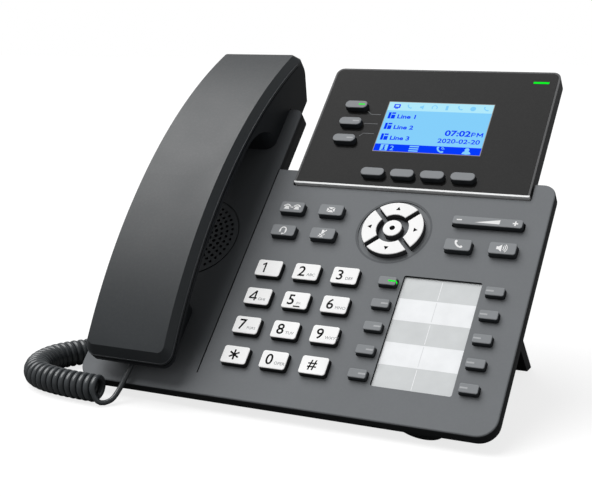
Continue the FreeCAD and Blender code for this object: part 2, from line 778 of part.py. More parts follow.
def front_housing():
    """Panel with skirt, key openings, label recess, grille and screw posts."""
    shell = slab(panel_corners(0), -FRONT_SKIRT, 0)
    shell = shell.makeFillet(PANEL_EDGE_ROUND, edges_at_height(shell, 0))
    shell = shell.cut(slab(panel_corners(WALL), -FRONT_SKIRT, -PANEL_SKIN))
    cuts = []
    for name, x, y, width, length, corner, height in key_places():
        cuts.append(key_hole(x, y, width, length, corner, -PANEL_SKIN, 0))
    for quarter in range(4):
        cuts.append(nav_sector(quarter, KEY_CLEARANCE, -PANEL_SKIN, 0))
    cuts.append(post(NAV_X, NAV_Y, OK_RADIUS + KEY_CLEARANCE, -PANEL_SKIN, 0))
    cuts.append(slab(
        rectangle(
            VOLUME_X, VOLUME_Y, VOLUME_WIDTH + 2 * VOLUME_SIDE_CLEARANCE,
            VOLUME_LENGTH + 2 * KEY_CLEARANCE, VOLUME_CORNER + KEY_CLEARANCE),
        -PANEL_SKIN, 0))
    label = between(LABEL_LEFT, LABEL_RIGHT, LABEL_FRONT, LABEL_BACK, LABEL_CORNER, LABEL_CORNER)
    cuts.append(slab(label, -LABEL_RECESS, 0))
    seam_left = TOWER_RIGHT - SEAM_WIDTH / 2
    seam_right = TOWER_RIGHT + SEAM_WIDTH / 2
    cuts.append(block(seam_left, seam_right, SEAM_START, PANEL_LENGTH, -SEAM_DEPTH, 0))
    groove_outer = GRILLE_GROOVE_RADIUS + GRILLE_GROOVE_WIDTH / 2
    groove_inner = GRILLE_GROOVE_RADIUS - GRILLE_GROOVE_WIDTH / 2
    groove = post(CRADLE_X, GRILLE_Y, groove_outer, -GRILLE_GROOVE_DEPTH, 0)
    island = post(CRADLE_X, GRILLE_Y, groove_inner, -GRILLE_GROOVE_DEPTH, 0)
    cuts.append(groove.cut(island))
    cuts.append(slab(hook_outline(HOOK_CLEARANCE), -PANEL_SKIN, 0))
    dish_radius = (NAV_DISH_RADIUS ** 2 + NAV_DISH_DEPTH ** 2) / (2 * NAV_DISH_DEPTH)
    dish = Part.makeSphere(dish_radius, Vector(NAV_X, NAV_Y, dish_radius - NAV_DISH_DEPTH))
    cuts.append(dish)
    cuts.append(post(NAV_X, NAV_Y, NAV_DISH_RADIUS, -NAV_DISH_STEP, 0))
    shell = shell.cut(cuts + grille_holes())
    posts = []
    pilots = []
    for x, y, depth in screw_places():
        low = -depth + FLOOR
        posts.append(post(x, y, POST_RADIUS, low, -PANEL_SKIN))
        pilots.append(post(x, y, SCREW_RADIUS + SCREW_FIT, low, low + SCREW_BITE))
    return shell.fuse(posts + rocker_ears()).cut(pilots).removeSplitter()


def socket_mouths():
    """Each socket on the board: side, y, width, height and depth."""
    return [
        (-1, HANDSET_SOCKET_Y, SMALL_SOCKET_WIDTH, SMALL_SOCKET_HEIGHT, SMALL_SOCKET_DEPTH),
        (-1, HEADSET_SOCKET_Y, SMALL_SOCKET_WIDTH, SMALL_SOCKET_HEIGHT, SMALL_SOCKET_DEPTH),
        (1, LAN_SOCKET_Y, LAN_SOCKET_WIDTH, LAN_SOCKET_HEIGHT, LAN_SOCKET_DEPTH),
        (1, PC_SOCKET_Y, LAN_SOCKET_WIDTH, LAN_SOCKET_HEIGHT, LAN_SOCKET_DEPTH),
    ]


def microphone_boss():
    """Rounded boss under the front edge with an oval sound hole in its front."""
    half = MICROPHONE_BOSS_WIDTH / 2
    low = -EDGE_DEPTH - MICROPHONE_BOSS_DROP
    left = Vector(MICROPHONE_X - half, 0, -EDGE_DEPTH)
    right = Vector(MICROPHONE_X + half, 0, -EDGE_DEPTH)
    middle = Vector(MICROPHONE_X, 0, low)
    arch = Part.Arc(left, middle, right).toShape()
    chord = Part.LineSegment(right, left).toShape()
    face = Part.Face(Part.Wire([arch, chord]))
    return face.extrude(Vector(0, MICROPHONE_BOSS_LENGTH, 0))


def microphone_hole():
    """Oval sound hole in the front of the boss."""
    z = -EDGE_DEPTH - MICROPHONE_BOSS_DROP / 2
    half = MICROPHONE_HOLE_WIDTH / 2 - MICROPHONE_HOLE_RADIUS
    low = z - MICROPHONE_HOLE_RADIUS
    high = z + MICROPHONE_HOLE_RADIUS
    cuts = [block(MICROPHONE_X - half, MICROPHONE_X + half, 0, WALL, low, high)]
    for x in (MICROPHONE_X - half, MICROPHONE_X + half):
        cuts.append(bar(Vector(x, 0, z), Vector(x, WALL, z), MICROPHONE_HOLE_RADIUS))
    return cuts


def rear_housing():
    """Back shell: rim tray, deeper key tray, belly, stand ears and stop."""
    rim = slab(panel_corners(0), -EDGE_DEPTH, -FRONT_SKIRT)
    tower = slab(tower_corners(0), -TOWER_DEPTH, -FRONT_SKIRT)
    tray = slab(tray_corners(0), -TRAY_DEPTH, -FRONT_SKIRT)
    belly = side_slab(belly_corners(), -BELLY_RIGHT, BELLY_RIGHT)
    shell = rim.fuse([tower, tray, belly, microphone_boss()])
    hollows = [
        slab(panel_corners(WALL), -EDGE_DEPTH + FLOOR, -FRONT_SKIRT),
        slab(tower_corners(WALL), -TOWER_DEPTH + FLOOR, -FRONT_SKIRT),
        slab(tray_corners(WALL), -TRAY_DEPTH + FLOOR, -FRONT_SKIRT),
        belly_hollow(),
    ]
    for side, y, width, height, depth in socket_mouths():
        inner = side * (BELLY_RIGHT - 2 * WALL)
        outer = side * (BELLY_RIGHT + WALL)
        half_width = width / 2 + SOCKET_MOUTH_ROOM
        half_height = height / 2 + SOCKET_MOUTH_ROOM
        hollows.append(block(
            min(inner, outer), max(inner, outer), y - half_width, y + half_width,
            -SOCKET_DROP - half_height, -SOCKET_DROP + half_height))
    for x, y, depth in screw_places():
        hollows.append(post(x, y, SCREW_RADIUS + SCREW_FIT, -depth, -depth + FLOOR))
    hollows += microphone_hole()
    shell = shell.cut(hollows)
    return shell.fuse(stand_ears() + board_rests() + [stand_stop()]).removeSplitter()


def board_rests():
    """Four short posts on the tray's floor that carry the board."""
    rests = []
    side = PANEL_RIGHT - BOARD_REST_INSET
    for x in (-side, side):
        for y in (BOARD_REST_FRONT, BOARD_REST_BACK):
            rests.append(post(x, y, BOARD_REST_RADIUS, -TRAY_DEPTH + FLOOR / 2, BOARD_BOTTOM))
    return rests


def display_outline(inset):
    """Outline of the display head, set in on every side."""
    return between(
        DISPLAY_LEFT + inset, DISPLAY_RIGHT - inset, DISPLAY_START + inset, DISPLAY_END - inset,
        max(DISPLAY_LOW_CORNER - inset, 0), max(DISPLAY_TOP_CORNER - inset, 0))


def display_housing():
    """Shallow tray of the display head, with a step that the lens sits on."""
    tray = slab(display_outline(0), DISPLAY_BACK, DISPLAY_FACE)
    seat = slab(display_outline(DISPLAY_RIM), LENS_UNDERSIDE, DISPLAY_FACE)
    hollow = slab(display_outline(DISPLAY_WALL), DISPLAY_BACK + FLOOR, LENS_UNDERSIDE)
    return tray.cut([seat, hollow])


def display_lens():
    """Front plate of the display head, with openings for its keys."""
    plate = slab(display_outline(LENS_PLAY), LENS_UNDERSIDE, DISPLAY_FACE)
    cuts = []
    for name, x, y in display_key_places():
        cuts.append(key_hole(
            x, y, DISPLAY_KEY_WIDTH, DISPLAY_KEY_LENGTH, DISPLAY_KEY_CORNER, LENS_UNDERSIDE, DISPLAY_FACE))
    return plate.cut(cuts)


def lcd_module():
    """Display glass with its backlight on a small board, with low domes under the display keys."""
    floor = DISPLAY_BACK + FLOOR
    board_top = floor + DISPLAY_BOARD_THICKNESS
    board = slab(display_outline(DISPLAY_WALL + DISPLAY_BOARD_MARGIN), floor, board_top)
    outline = rectangle(LCD_MIDDLE_X, LCD_MIDDLE_Y, LCD_WIDTH, LCD_LENGTH, 0)
    glass = slab(outline, board_top, LENS_UNDERSIDE - LCD_GAP)
    domes = []
    for name, x, y in display_key_places():
        domes.append(post(x, y, DISPLAY_DOME_RADIUS, board_top, board_top + DISPLAY_DOME))
    return board.fuse(domes + [glass]).removeSplitter()


# Parts inside the base

def mat_corners(grow):
    """Outline of the key mat round all panel keys."""
    left = DIAL_MIDDLE_X - DIAL_PITCH_X - DIAL_WIDTH / 2 - MAT_MARGIN
    right = SPEED_RIGHT_X + SPEED_WIDTH / 2 + KEY_LIP
    front = DIAL_TOP_Y - (len(DIAL_ROWS) - 1) * DIAL_PITCH_Y - DIAL_LENGTH / 2 - MAT_MARGIN
    back = VOLUME_Y + VOLUME_LENGTH / 2 + MAT_MARGIN
    middle_x = (left + right) / 2
    middle_y = (front + back) / 2
    return rectangle(middle_x, middle_y, right - left, back - front, DIAL_CORNER, grow)


def key_mat():
    """Rubber sheet on the board with a low dome under each key."""
    sheet = slab(mat_corners(0), BOARD_TOP, MAT_TOP)
    domes = []
    for name, x, y, width, length, corner, height in key_places():
        outline = rectangle(x, y, width, length, corner, -MAT_DOME_MARGIN)
        domes.append(slab(outline, MAT_TOP, MAT_TOP + MAT_DOME))
    for quarter in range(4):
        domes.append(nav_sector(quarter, -MAT_DOME_MARGIN, MAT_TOP, MAT_TOP + MAT_DOME))
    domes.append(post(NAV_X, NAV_Y, OK_RADIUS - MAT_DOME_MARGIN, MAT_TOP, MAT_TOP + MAT_DOME))
    for side in (-1, 1):
        domes.append(post(
            VOLUME_X + side * ROCKER_LEG_X, VOLUME_Y, ROCKER_LEG_RADIUS, MAT_TOP, MAT_TOP + MAT_DOME))
    return sheet.cut(post_rooms(BOARD_TOP, MAT_TOP)).fuse(domes).removeSplitter()


def post_rooms(low, high):
    """Clear holes round the screw posts through a sheet."""
    return [post(x, y, POST_RADIUS + POST_ROOM, low, high) for x, y, depth in screw_places()]


def socket_body(side, y, width, height, depth):
    """Open-fronted socket that hangs from the board behind its mouth in the belly's wall."""
    front = side * (BELLY_RIGHT - WALL)
    back = side * (BELLY_RIGHT - WALL - depth - SOCKET_BACK)
    bottom = side * (BELLY_RIGHT - WALL - depth)
    half_width = width / 2
    half_height = height / 2
    body = block(
        min(front, back), max(front, back), y - half_width - SOCKET_WALL, y + half_width + SOCKET_WALL,
        -SOCKET_DROP - half_height - SOCKET_WALL, BOARD_BOTTOM)
    mouth = block(
        min(front, bottom), max(front, bottom), y - half_width, y + half_width,
        -SOCKET_DROP - half_height, -SOCKET_DROP + half_height)
    return body.cut(mouth)


def main_board():
    """Circuit board under the key mat, with four cord sockets soldered below it."""
    half_width = PANEL_RIGHT - TRAY_INSET - WALL - BOARD_MARGIN
    front = TRAY_INSET + WALL + BOARD_MARGIN
    back = TRAY_END - WALL - BOARD_MARGIN
    left = CRADLE_X + SPEAKER_RADIUS + BOARD_MARGIN
    board = slab([
        (-half_width, front, PANEL_CORNER),
        (half_width, front, PANEL_CORNER),
        (half_width, back, PANEL_CORNER),
        (left, back, 0),
        (left, BOARD_STEP_Y, 0),
        (-half_width, BOARD_STEP_Y, 0),
    ], BOARD_BOTTOM, BOARD_TOP)
    sockets = [socket_body(*mouth) for mouth in socket_mouths()]
    return board.cut(post_rooms(BOARD_BOTTOM, BOARD_TOP)).fuse(sockets).removeSplitter()


def loudspeaker():
    """Round loudspeaker behind the grille: rim, cone basket and magnet."""
    top = -PANEL_SKIN
    rim_low = top - SPEAKER_RIM
    cone_low = rim_low - SPEAKER_CONE_DEPTH
    magnet_low = cone_low - SPEAKER_MAGNET_DEPTH
    rim = post(CRADLE_X, GRILLE_Y, SPEAKER_RADIUS, rim_low, top)
    cone_top = SPEAKER_RADIUS - SPEAKER_RIM
    foot = Vector(CRADLE_X, GRILLE_Y, cone_low)
    basket = Part.makeCone(SPEAKER_CONE_RADIUS, cone_top, SPEAKER_CONE_DEPTH, foot)
    magnet = post(CRADLE_X, GRILLE_Y, SPEAKER_MAGNET_RADIUS, magnet_low, cone_low)
    return rim.fuse([basket, magnet]).removeSplitter()


def hook_outline(grow):
    """Outline of the hook switch's plunger, grown on every side."""
    return rectangle(CRADLE_X, HOOK_Y, HOOK_WIDTH, HOOK_LENGTH, HOOK_CORNER, grow)


def hook_switch():
    """Plunger in the cradle that the resting handset holds down."""
    lip_top = -PANEL_SKIN - KEY_STOP_GAP - HOOK_TRAVEL
    lip_bottom = lip_top - KEY_LIP_THICKNESS
    stem = slab(hook_outline(0), lip_bottom, 0)
    stem = stem.makeFillet(KEY_ROUND, edges_at_height(stem, 0))
    lip = slab(hook_outline(KEY_LIP), lip_bottom, lip_top)
    return stem.fuse(lip).removeSplitter()


def rubber_feet():
    """Two round pads under the belly, in table coordinates."""
    feet = []
    for side in (-1, 1):
        feet.append(post(side * FOOT_SPREAD / 2, FOOT_SETBACK, FOOT_RADIUS, 0, FOOT_HEIGHT))
    return Part.makeCompound(feet)


# Folding stand

def stand_ears():
    """Two snap-in ears on the belly's back that hold the stand's pins."""
    ears = []
    for side in (-1, 1):
        middle = side * STAND_EAR_SPREAD / 2
        left = middle - STAND_EAR_WIDTH / 2
        right = middle + STAND_EAR_WIDTH / 2
        axis_left = Vector(left, STAND_Y, STAND_AXIS_Z)
        axis_right = Vector(right, STAND_Y, STAND_AXIS_Z)
        ear = block(
            left, right, STAND_Y - STAND_EAR_RADIUS, STAND_Y + STAND_EAR_RADIUS, STAND_AXIS_Z, -BELLY_DEPTH)
        ear = ear.fuse(bar(axis_left, axis_right, STAND_EAR_RADIUS))
        bore = bar(axis_left, axis_right, STAND_PIN_RADIUS + STAND_PIN_FIT)
        mouth = block(
            left, right, STAND_Y - STAND_SNAP_MOUTH / 2, STAND_Y + STAND_SNAP_MOUTH / 2,
            STAND_AXIS_Z - STAND_EAR_RADIUS, STAND_AXIS_Z)
        ears.append(ear.cut([bore, mouth]))
    return ears


def stand_stop():
    """Rib behind the stand that stops it square to the panel."""
    start = STAND_Y + STAND_THICKNESS / 2 + STAND_STOP_GAP
    return block(
        -STAND_STOP_WIDTH / 2, STAND_STOP_WIDTH / 2, start, start + STAND_STOP_LENGTH,
        -BELLY_DEPTH - STAND_STOP_HEIGHT, -BELLY_DEPTH)


def stand():
    """Plate stand on two pins, ribbed at its edges and cut level at the table."""
    half_width = STAND_WIDTH / 2
    half_thickness = STAND_THICKNESS / 2
    front = STAND_Y - half_thickness
    back = STAND_Y + half_thickness
    table_depth = -(back * math.sin(TILT) + FRONT_EDGE_HEIGHT) / math.cos(TILT)
    plate = block(-half_width, half_width, front, back, table_depth, STAND_AXIS_Z)
    axis_left = Vector(-half_width, STAND_Y, STAND_AXIS_Z)
    axis_right = Vector(half_width, STAND_Y, STAND_AXIS_Z)
    barrel = bar(axis_left, axis_right, half_thickness)
    plate = plate.fuse(barrel)
    notch_reach = STAND_EAR_RADIUS + STAND_EAR_GAP
    foot_top = table_depth + STAND_THICKNESS + STAND_FLANGE
    pocket = block(
        -half_width + STAND_FLANGE, half_width - STAND_FLANGE, front, back - STAND_WEB,
        foot_top, STAND_AXIS_Z - notch_reach - STAND_FLANGE)
    cuts = [pocket]
    pins = []
    for side in (-1, 1):
        middle = side * STAND_EAR_SPREAD / 2
        left = middle - STAND_EAR_WIDTH / 2 - STAND_EAR_GAP
        right = middle + STAND_EAR_WIDTH / 2 + STAND_EAR_GAP
        notch_low = STAND_AXIS_Z - notch_reach
        cuts.append(block(left, right, front, back, notch_low, STAND_AXIS_Z + half_thickness))
        pins.append(bar(
            Vector(left, STAND_Y, STAND_AXIS_Z), Vector(right, STAND_Y, STAND_AXIS_Z), STAND_PIN_RADIUS))
    whole = on_table(plate.cut(cuts).fuse(pins).removeSplitter())
    box = whole.BoundBox
    below = block(box.XMin, box.XMax, box.YMin, box.YMax, box.ZMin, 0)
    return whole.cut(below)


# Handset

def crown_height(y):
    """Height of the handset's arched top along its length."""
    return CROWN_TOP - CROWN_RADIUS + math.sqrt(CROWN_RADIUS ** 2 - (y - CROWN_MIDDLE) ** 2)


def line(start, end):
    """Straight edge between two flat points."""
    return Part.LineSegment(Vector(*start, 0), Vector(*end, 0)).toShape()


def arc(start, middle, end):
    """Arc through three flat points."""
    return Part.Arc(Vector(*start, 0), Vector(*middle, 0), Vector(*end, 0)).toShape()


def crown_arc(start, end, drop):
    """Arc that follows the handset's top at a depth below it."""
    middle = (start + end) / 2
    points = [(y, crown_height(y) - drop) for y in (start, middle, end)]
    return arc(*points)


def handset_profile(drop):
    """Side outline of the handset below a depth under its top, drawn past the mouth end by a wall."""
    mouth_end = HANDSET_START - HANDSET_WALL
    high_start = (mouth_end, crown_height(mouth_end) - drop)
    high_end = (HANDSET_END, crown_height(HANDSET_END) - drop)
    mouth_low = (mouth_end, crown_height(mouth_end) - HANDSET_SLAB)
    grip_end = (EAR_CURVE_START, crown_height(EAR_CURVE_START) - HANDSET_SLAB)
    curve_middle = (EAR_BLOCK_START, grip_end[1] - EAR_CURVE_DROP)
    curve_end = (EAR_CURVE_END, EAR_CURVE_END_HEIGHT)
    block_low = (EAR_CURVE_END + EAR_CURVE_END_HEIGHT, HANDSET_REST_GAP)
    lip_root = (HOOK_LIP_START, HANDSET_REST_GAP)
    lip_front = (HOOK_LIP_START, -HOOK_LIP_DEPTH + HOOK_LIP_CORNER)
    lip_low = (HOOK_LIP_START + HOOK_LIP_CORNER, -HOOK_LIP_DEPTH)
    lip_end = (HOOK_LIP_END, -HOOK_LIP_DEPTH)
    end_face = (HANDSET_END, crown_height(HANDSET_END) - TOP_SHELL_DEPTH - HANDSET_END_FACE)
    return side_face([
        crown_arc(mouth_end, HANDSET_END, drop),
        line(high_end, end_face),
        line(end_face, lip_end),
        line(lip_end, lip_low),
        line(lip_low, lip_front),
        line(lip_front, lip_root),
        line(lip_root, block_low),
        line(block_low, curve_end),
        arc(curve_end, curve_middle, grip_end),
        crown_arc(mouth_end, EAR_CURVE_START, HANDSET_SLAB),
        line(mouth_low, high_start),
    ])


def side_face(edges):
    """Flat face inside closed edges."""
    return Part.Face(Part.Wire(Part.__sortEdges__(edges)))


def crown_band(start, end, top_drop, low_drop):
    """Side face of a band that follows the handset's top between two depths."""
    return side_face([
        crown_arc(start, end, top_drop),
        crown_arc(start, end, low_drop),
        line((start, crown_height(start) - top_drop), (start, crown_height(start) - low_drop)),
        line((end, crown_height(end) - top_drop), (end, crown_height(end) - low_drop)),
    ])


def across_handset(face, inset):
    """Flat side face swept across the handset's width."""
    half = HANDSET_WIDTH / 2 - inset
    swept = face.extrude(Vector(0, 0, 2 * half))
    swept.translate(Vector(0, 0, CRADLE_X - half))
    return turn_on_side(swept)


def handset_plan(inset):
    """Upright prism of the handset's rounded plan."""
    half = HANDSET_WIDTH / 2 - inset
    outline = between(
        CRADLE_X - half, CRADLE_X + half, HANDSET_START + inset, HANDSET_END - inset,
        max(HANDSET_MOUTH_CORNER - inset, 0), max(HANDSET_EAR_CORNER - inset, 0))
    return slab(outline, -HOOK_LIP_DEPTH, CROWN_TOP)


def handset_hollow():
    """Space inside both handset shells."""
    inner = handset_profile(0).makeOffset2D(-HANDSET_WALL)
    return across_handset(inner, HANDSET_SIDE_WALL).common(handset_plan(HANDSET_SIDE_WALL))


def under_block(outline, low, top_drop):
    """Block under the handset with a plan outline, below a depth under the handset's top."""
    column = slab(outline, low, CROWN_TOP)
    band = crown_band(HANDSET_START, HANDSET_END, -CROWN_TOP, top_drop)
    return column.cut(across_handset(band, -HANDSET_WALL))


def mouth_outline(inset):
    """Plan of the mouth block, set in by a wall."""
    half = MOUTH_BLOCK_WIDTH / 2 - inset
    corner = MOUTH_BLOCK_CORNER - inset
    return between(
        CRADLE_X - half, CRADLE_X + half, MOUTH_BLOCK_START + inset, MOUTH_BLOCK_END - inset, corner, corner)


def ear_outline(inset):
    """Plan of the ear block, rounded at its front corners, set in by a wall."""
    half = HANDSET_WIDTH / 2 - inset
    return between(
        CRADLE_X - half, CRADLE_X + half, EAR_BLOCK_START + inset, HOOK_LIP_START - inset,
        EAR_BLOCK_CORNER - inset, 0)


def handset_top_shell():
    """Arched top shell with a bevel all round, hollow underneath."""
    shell = across_handset(crown_band(HANDSET_START, HANDSET_END, 0, TOP_SHELL_DEPTH), 0)
    shell = shell.common(handset_plan(0))
    crown = max(shell.Faces, key=lambda face: face.CenterOfMass.z * (face.Area > HANDSET_WIDTH ** 2))
    shell = shell.makeChamfer(CROWN_CHAMFER_DOWN, CROWN_CHAMFER_OUT, crown.OuterWire.Edges)
    return shell.cut(handset_hollow())


def receiver_place():
    """Middle of the receiver on the floor of the hook lip."""
    return (HOOK_LIP_START + HOOK_LIP_CORNER + HOOK_LIP_END) / 2


def capsule_place():
    """Middle of the microphone on the floor of the mouth block."""
    return MOUTH_BLOCK_START + CAPSULE_SETBACK


def handset_bottom_shell():
    """Bottom shell with grip, ear block, hook lip and mouth block."""
    body = across_handset(handset_profile(TOP_SHELL_DEPTH), 0).common(handset_plan(0))
    sunk = HANDSET_SLAB - HANDSET_WALL / 2
    mouth = under_block(mouth_outline(0), HANDSET_REST_GAP, sunk)
    ear = under_block(ear_outline(0), HANDSET_REST_GAP, sunk)
    body = body.fuse([mouth, ear])
    floor = HANDSET_REST_GAP + HANDSET_WALL
    cuts = [handset_hollow()]
    cuts.append(under_block(mouth_outline(HANDSET_WALL), floor, 0))
    cuts.append(under_block(ear_outline(HANDSET_SIDE_WALL), floor, 0))
    cuts.append(block(
        HANDSET_PLUG_X - PLUG_WIDTH / 2 - PLUG_FIT, HANDSET_PLUG_X + PLUG_WIDTH / 2 + PLUG_FIT,
        MOUTH_BLOCK_START, MOUTH_BLOCK_START - PLUG_PROUD + PLUG_LENGTH + PLUG_FIT,
        HANDSET_PLUG_HEIGHT - PLUG_HEIGHT / 2, HANDSET_PLUG_HEIGHT + PLUG_HEIGHT / 2 + PLUG_FIT))
    for i in range(SOUND_HOLE_COUNT):
        angle = 2 * math.pi * i / SOUND_HOLE_COUNT
        x = CRADLE_X + SOUND_HOLE_CIRCLE * math.cos(angle)
        y = receiver_place() + SOUND_HOLE_CIRCLE * math.sin(angle)
        cuts.append(post(x, y, SOUND_HOLE_RADIUS, -HOOK_LIP_DEPTH, -HOOK_LIP_DEPTH + HANDSET_WALL))
    cuts.append(post(CRADLE_X, capsule_place(), SOUND_HOLE_RADIUS, HANDSET_REST_GAP, floor))
    return body.cut(cuts).removeSplitter()


def handset_capsules():
    """Receiver in the hook lip and microphone in the mouth block."""
    lip_floor = -HOOK_LIP_DEPTH + HANDSET_WALL
    receiver = post(CRADLE_X, receiver_place(), RECEIVER_RADIUS, lip_floor, lip_floor + RECEIVER_HEIGHT)
    floor = HANDSET_REST_GAP + HANDSET_WALL
    microphone = post(CRADLE_X, capsule_place(), CAPSULE_RADIUS, floor, floor + CAPSULE_HEIGHT)
    return Part.makeCompound([receiver, microphone])


# Cord and its plugs

def handset_plug():
    """Plug in the end wall of the handset's mouth block."""
    front = MOUTH_BLOCK_START - PLUG_PROUD
    return block(
        HANDSET_PLUG_X - PLUG_WIDTH / 2, HANDSET_PLUG_X + PLUG_WIDTH / 2, front, front + PLUG_LENGTH,
        HANDSET_PLUG_HEIGHT - PLUG_HEIGHT / 2, HANDSET_PLUG_HEIGHT + PLUG_HEIGHT / 2)


def base_plug():
    """Plug in the handset socket of the base."""
    front = -BELLY_RIGHT - PLUG_PROUD
    floor = base_plug_floor()
    return block(
        front, front + PLUG_LENGTH, HANDSET_SOCKET_Y - PLUG_WIDTH / 2, HANDSET_SOCKET_Y + PLUG_WIDTH / 2,
        floor, floor + PLUG_HEIGHT)


def base_plug_floor():
    """Height of the floor of the handset socket, on which the plug lies."""
    return -SOCKET_DROP - SMALL_SOCKET_HEIGHT / 2


def coil_axis():
    """Runs and turns of the coil's middle line on the table: length and turn rate of each stretch."""
    return [
        (COIL_FRONT_RUN, 0),
        (COIL_BEND * math.radians(COIL_FRONT_TURN), -1 / COIL_BEND),
        (COIL_MIDDLE_RUN, 0),
        (COIL_BEND * math.radians(COIL_BACK_TURN), 1 / COIL_BEND),
        (COIL_BACK_RUN, 0),
    ]


def coil_place(distance):
    """Point on the coil's middle line and its heading there, at a distance from the front end."""
    x = COIL_FRONT_X
    y = COIL_FRONT_Y
    heading = math.pi
    left = distance
    for length, rate in coil_axis():
        step = min(left, length)
        if rate == 0:
            x += step * math.cos(heading)
            y += step * math.sin(heading)
        else:
            turned = heading + step * rate
            x += (math.sin(turned) - math.sin(heading)) / rate
            y += (math.cos(heading) - math.cos(turned)) / rate
            heading = turned
        left -= step
    return Vector(x, y, COIL_HEIGHT), heading


def coil_length():
    """Length of the coil's middle line."""
    return sum(length for length, rate in coil_axis())


def coil_turns():
    """Whole and half turns that fit the coil's length, from the near side at the front end."""
    return round(2 * coil_length() / COIL_PITCH) / 2


def helix_point(turn):
    """Point of the wire's middle line after a number of turns from the front end."""
    middle, heading = coil_place(coil_length() * turn / coil_turns())
    angle = 2 * math.pi * turn
    out = Vector(-math.sin(heading), math.cos(heading), 0)
    return middle + out * (COIL_RADIUS * math.cos(angle)) + Vector(0, 0, COIL_RADIUS * math.sin(angle))


def helix_heading(turn):
    """Direction of the wire after a number of turns."""
    step = 1e-4
    return (helix_point(turn + step) - helix_point(turn - step)).normalize()


def arc_from_tangent(start, corner, end):
    """Arc between two points whose tangents meet at a corner."""
    chord_middle = (start + end) * 0.5
    to_corner = corner - chord_middle
    half_chord = start.distanceToPoint(end) / 2
    tangent_length = start.distanceToPoint(corner)
    radius = tangent_length * half_chord / to_corner.Length
    rise = radius - math.sqrt(max(radius ** 2 - half_chord ** 2, 0))
    return Part.Arc(start, chord_middle + to_corner.normalize() * rise, end).toShape()


def biarc(start, start_heading, end, end_heading):
    """Two arcs that join two points and keep their headings."""
    across = end - start
    both = start_heading + end_heading
    spread = 2 * (1 - start_heading.dot(end_heading))
    lean = across.dot(both)
    reach = (math.sqrt(lean ** 2 + spread * across.dot(across)) - lean) / spread
    first = start + start_heading * reach
    second = end - end_heading * reach
    middle = (first + second) * 0.5
    return [arc_from_tangent(start, first, middle), arc_from_tangent(middle, second, end)]


def tube(edges, start, heading):
    """Round wire swept along joined edges."""
    path = Part.Wire(edges)
    section = Part.Wire(Part.makeCircle(WIRE / 2, start, heading))
    sweep = Part.BRepOffsetAPI.MakePipeShell(path)
    sweep.add(section)
    sweep.build()
    sweep.makeSolid()
    return sweep.shape()


def coil_ends():
    """Points where the coil's straight ends meet the leads, with the directions out of the coil."""
    turns = coil_turns()
    angle = math.radians(FRONT_END_HEADING)
    front_out = Vector(math.cos(angle), math.sin(angle), 0)
    back_out = helix_heading(turns)
    front = Vector(FRONT_END_X, FRONT_END_Y, WIRE / 2 + TABLE_GAP) + front_out * WIRE
    back = helix_point(turns) + back_out * WIRE
    return front, front_out, back, back_out


def curly_cord():
    """Coiled middle of the cord as one unbroken helix, its front end laid onto the table."""
    turns = coil_turns()
    count = round(turns * COIL_ARCS_PER_TURN / 2)
    front, front_out, back, back_out = coil_ends()
    landing = front - front_out * WIRE
    inward = front_out * -1
    edges = [Part.LineSegment(front, landing).toShape()]
    edges += biarc(landing, inward, helix_point(0), helix_heading(0))
    for i in range(count):
        start = turns * i / count
        end = turns * (i + 1) / count
        edges += biarc(helix_point(start), helix_heading(start), helix_point(end), helix_heading(end))
    edges.append(Part.LineSegment(helix_point(turns), back).toShape())
    bends = [round(edge.Curve.Radius, 1) for edge in edges[1:3]]
    length = sum(edge.Length for edge in edges)
    solid = tube(edges, front, inward)
    share = solid.Volume / (math.pi * (WIRE / 2) ** 2 * length)
    print("coil turns", turns, "least gap", round(coil_gap(), 2), "end bends", bends)
    print("coil wire length", round(length, 1), "fill", round(share, 4))
    return solid


def coil_gap():
    """Least clear gap between neighbouring turns, measured on points of the wire."""
    points = [helix_point(i / GAP_STEPS) for i in range(int(coil_turns() * GAP_STEPS) + 1)]
    least = COIL_PITCH
    for i in range(len(points)):
        for j in range(i + GAP_STEPS // 2, min(i + 3 * GAP_STEPS // 2, len(points))):
            least = min(least, points[i].distanceToPoint(points[j]))
    return least - WIRE


def rounded_route(points):
    """Straight runs through points, joined by arcs as large as the runs allow."""
    edges = []
    radii = []
    start = points[0]
    for i in range(1, len(points) - 1):
        before = points[i] - points[i - 1]
        after = points[i + 1] - points[i]
        reach = CORNER_SHARE * min(before.Length, after.Length)
        turn = before.getAngle(after)
        radii.append(reach / math.tan(turn / 2))
        entry = points[i] - before.normalize() * reach
        leave = points[i] + after.normalize() * reach
        edges.append(Part.LineSegment(start, entry).toShape())
        edges.append(arc_from_tangent(entry, points[i], leave))
        start = leave
    edges.append(Part.LineSegment(start, points[-1]).toShape())
    return edges, radii


def lead(points, name):
    """Plain stretch of the cord through chosen points."""
    edges, radii = rounded_route(points)
    solid = tube(edges, points[0], points[1] - points[0])
    length = sum(edge.Length for edge in edges)
    share = solid.Volume / (math.pi * (WIRE / 2) ** 2 * length)
    bends = [round(radius, 1) for radius in radii]
    print(name, "length", round(length, 1), "radii", bends, "fill", round(share, 4))
    return solid


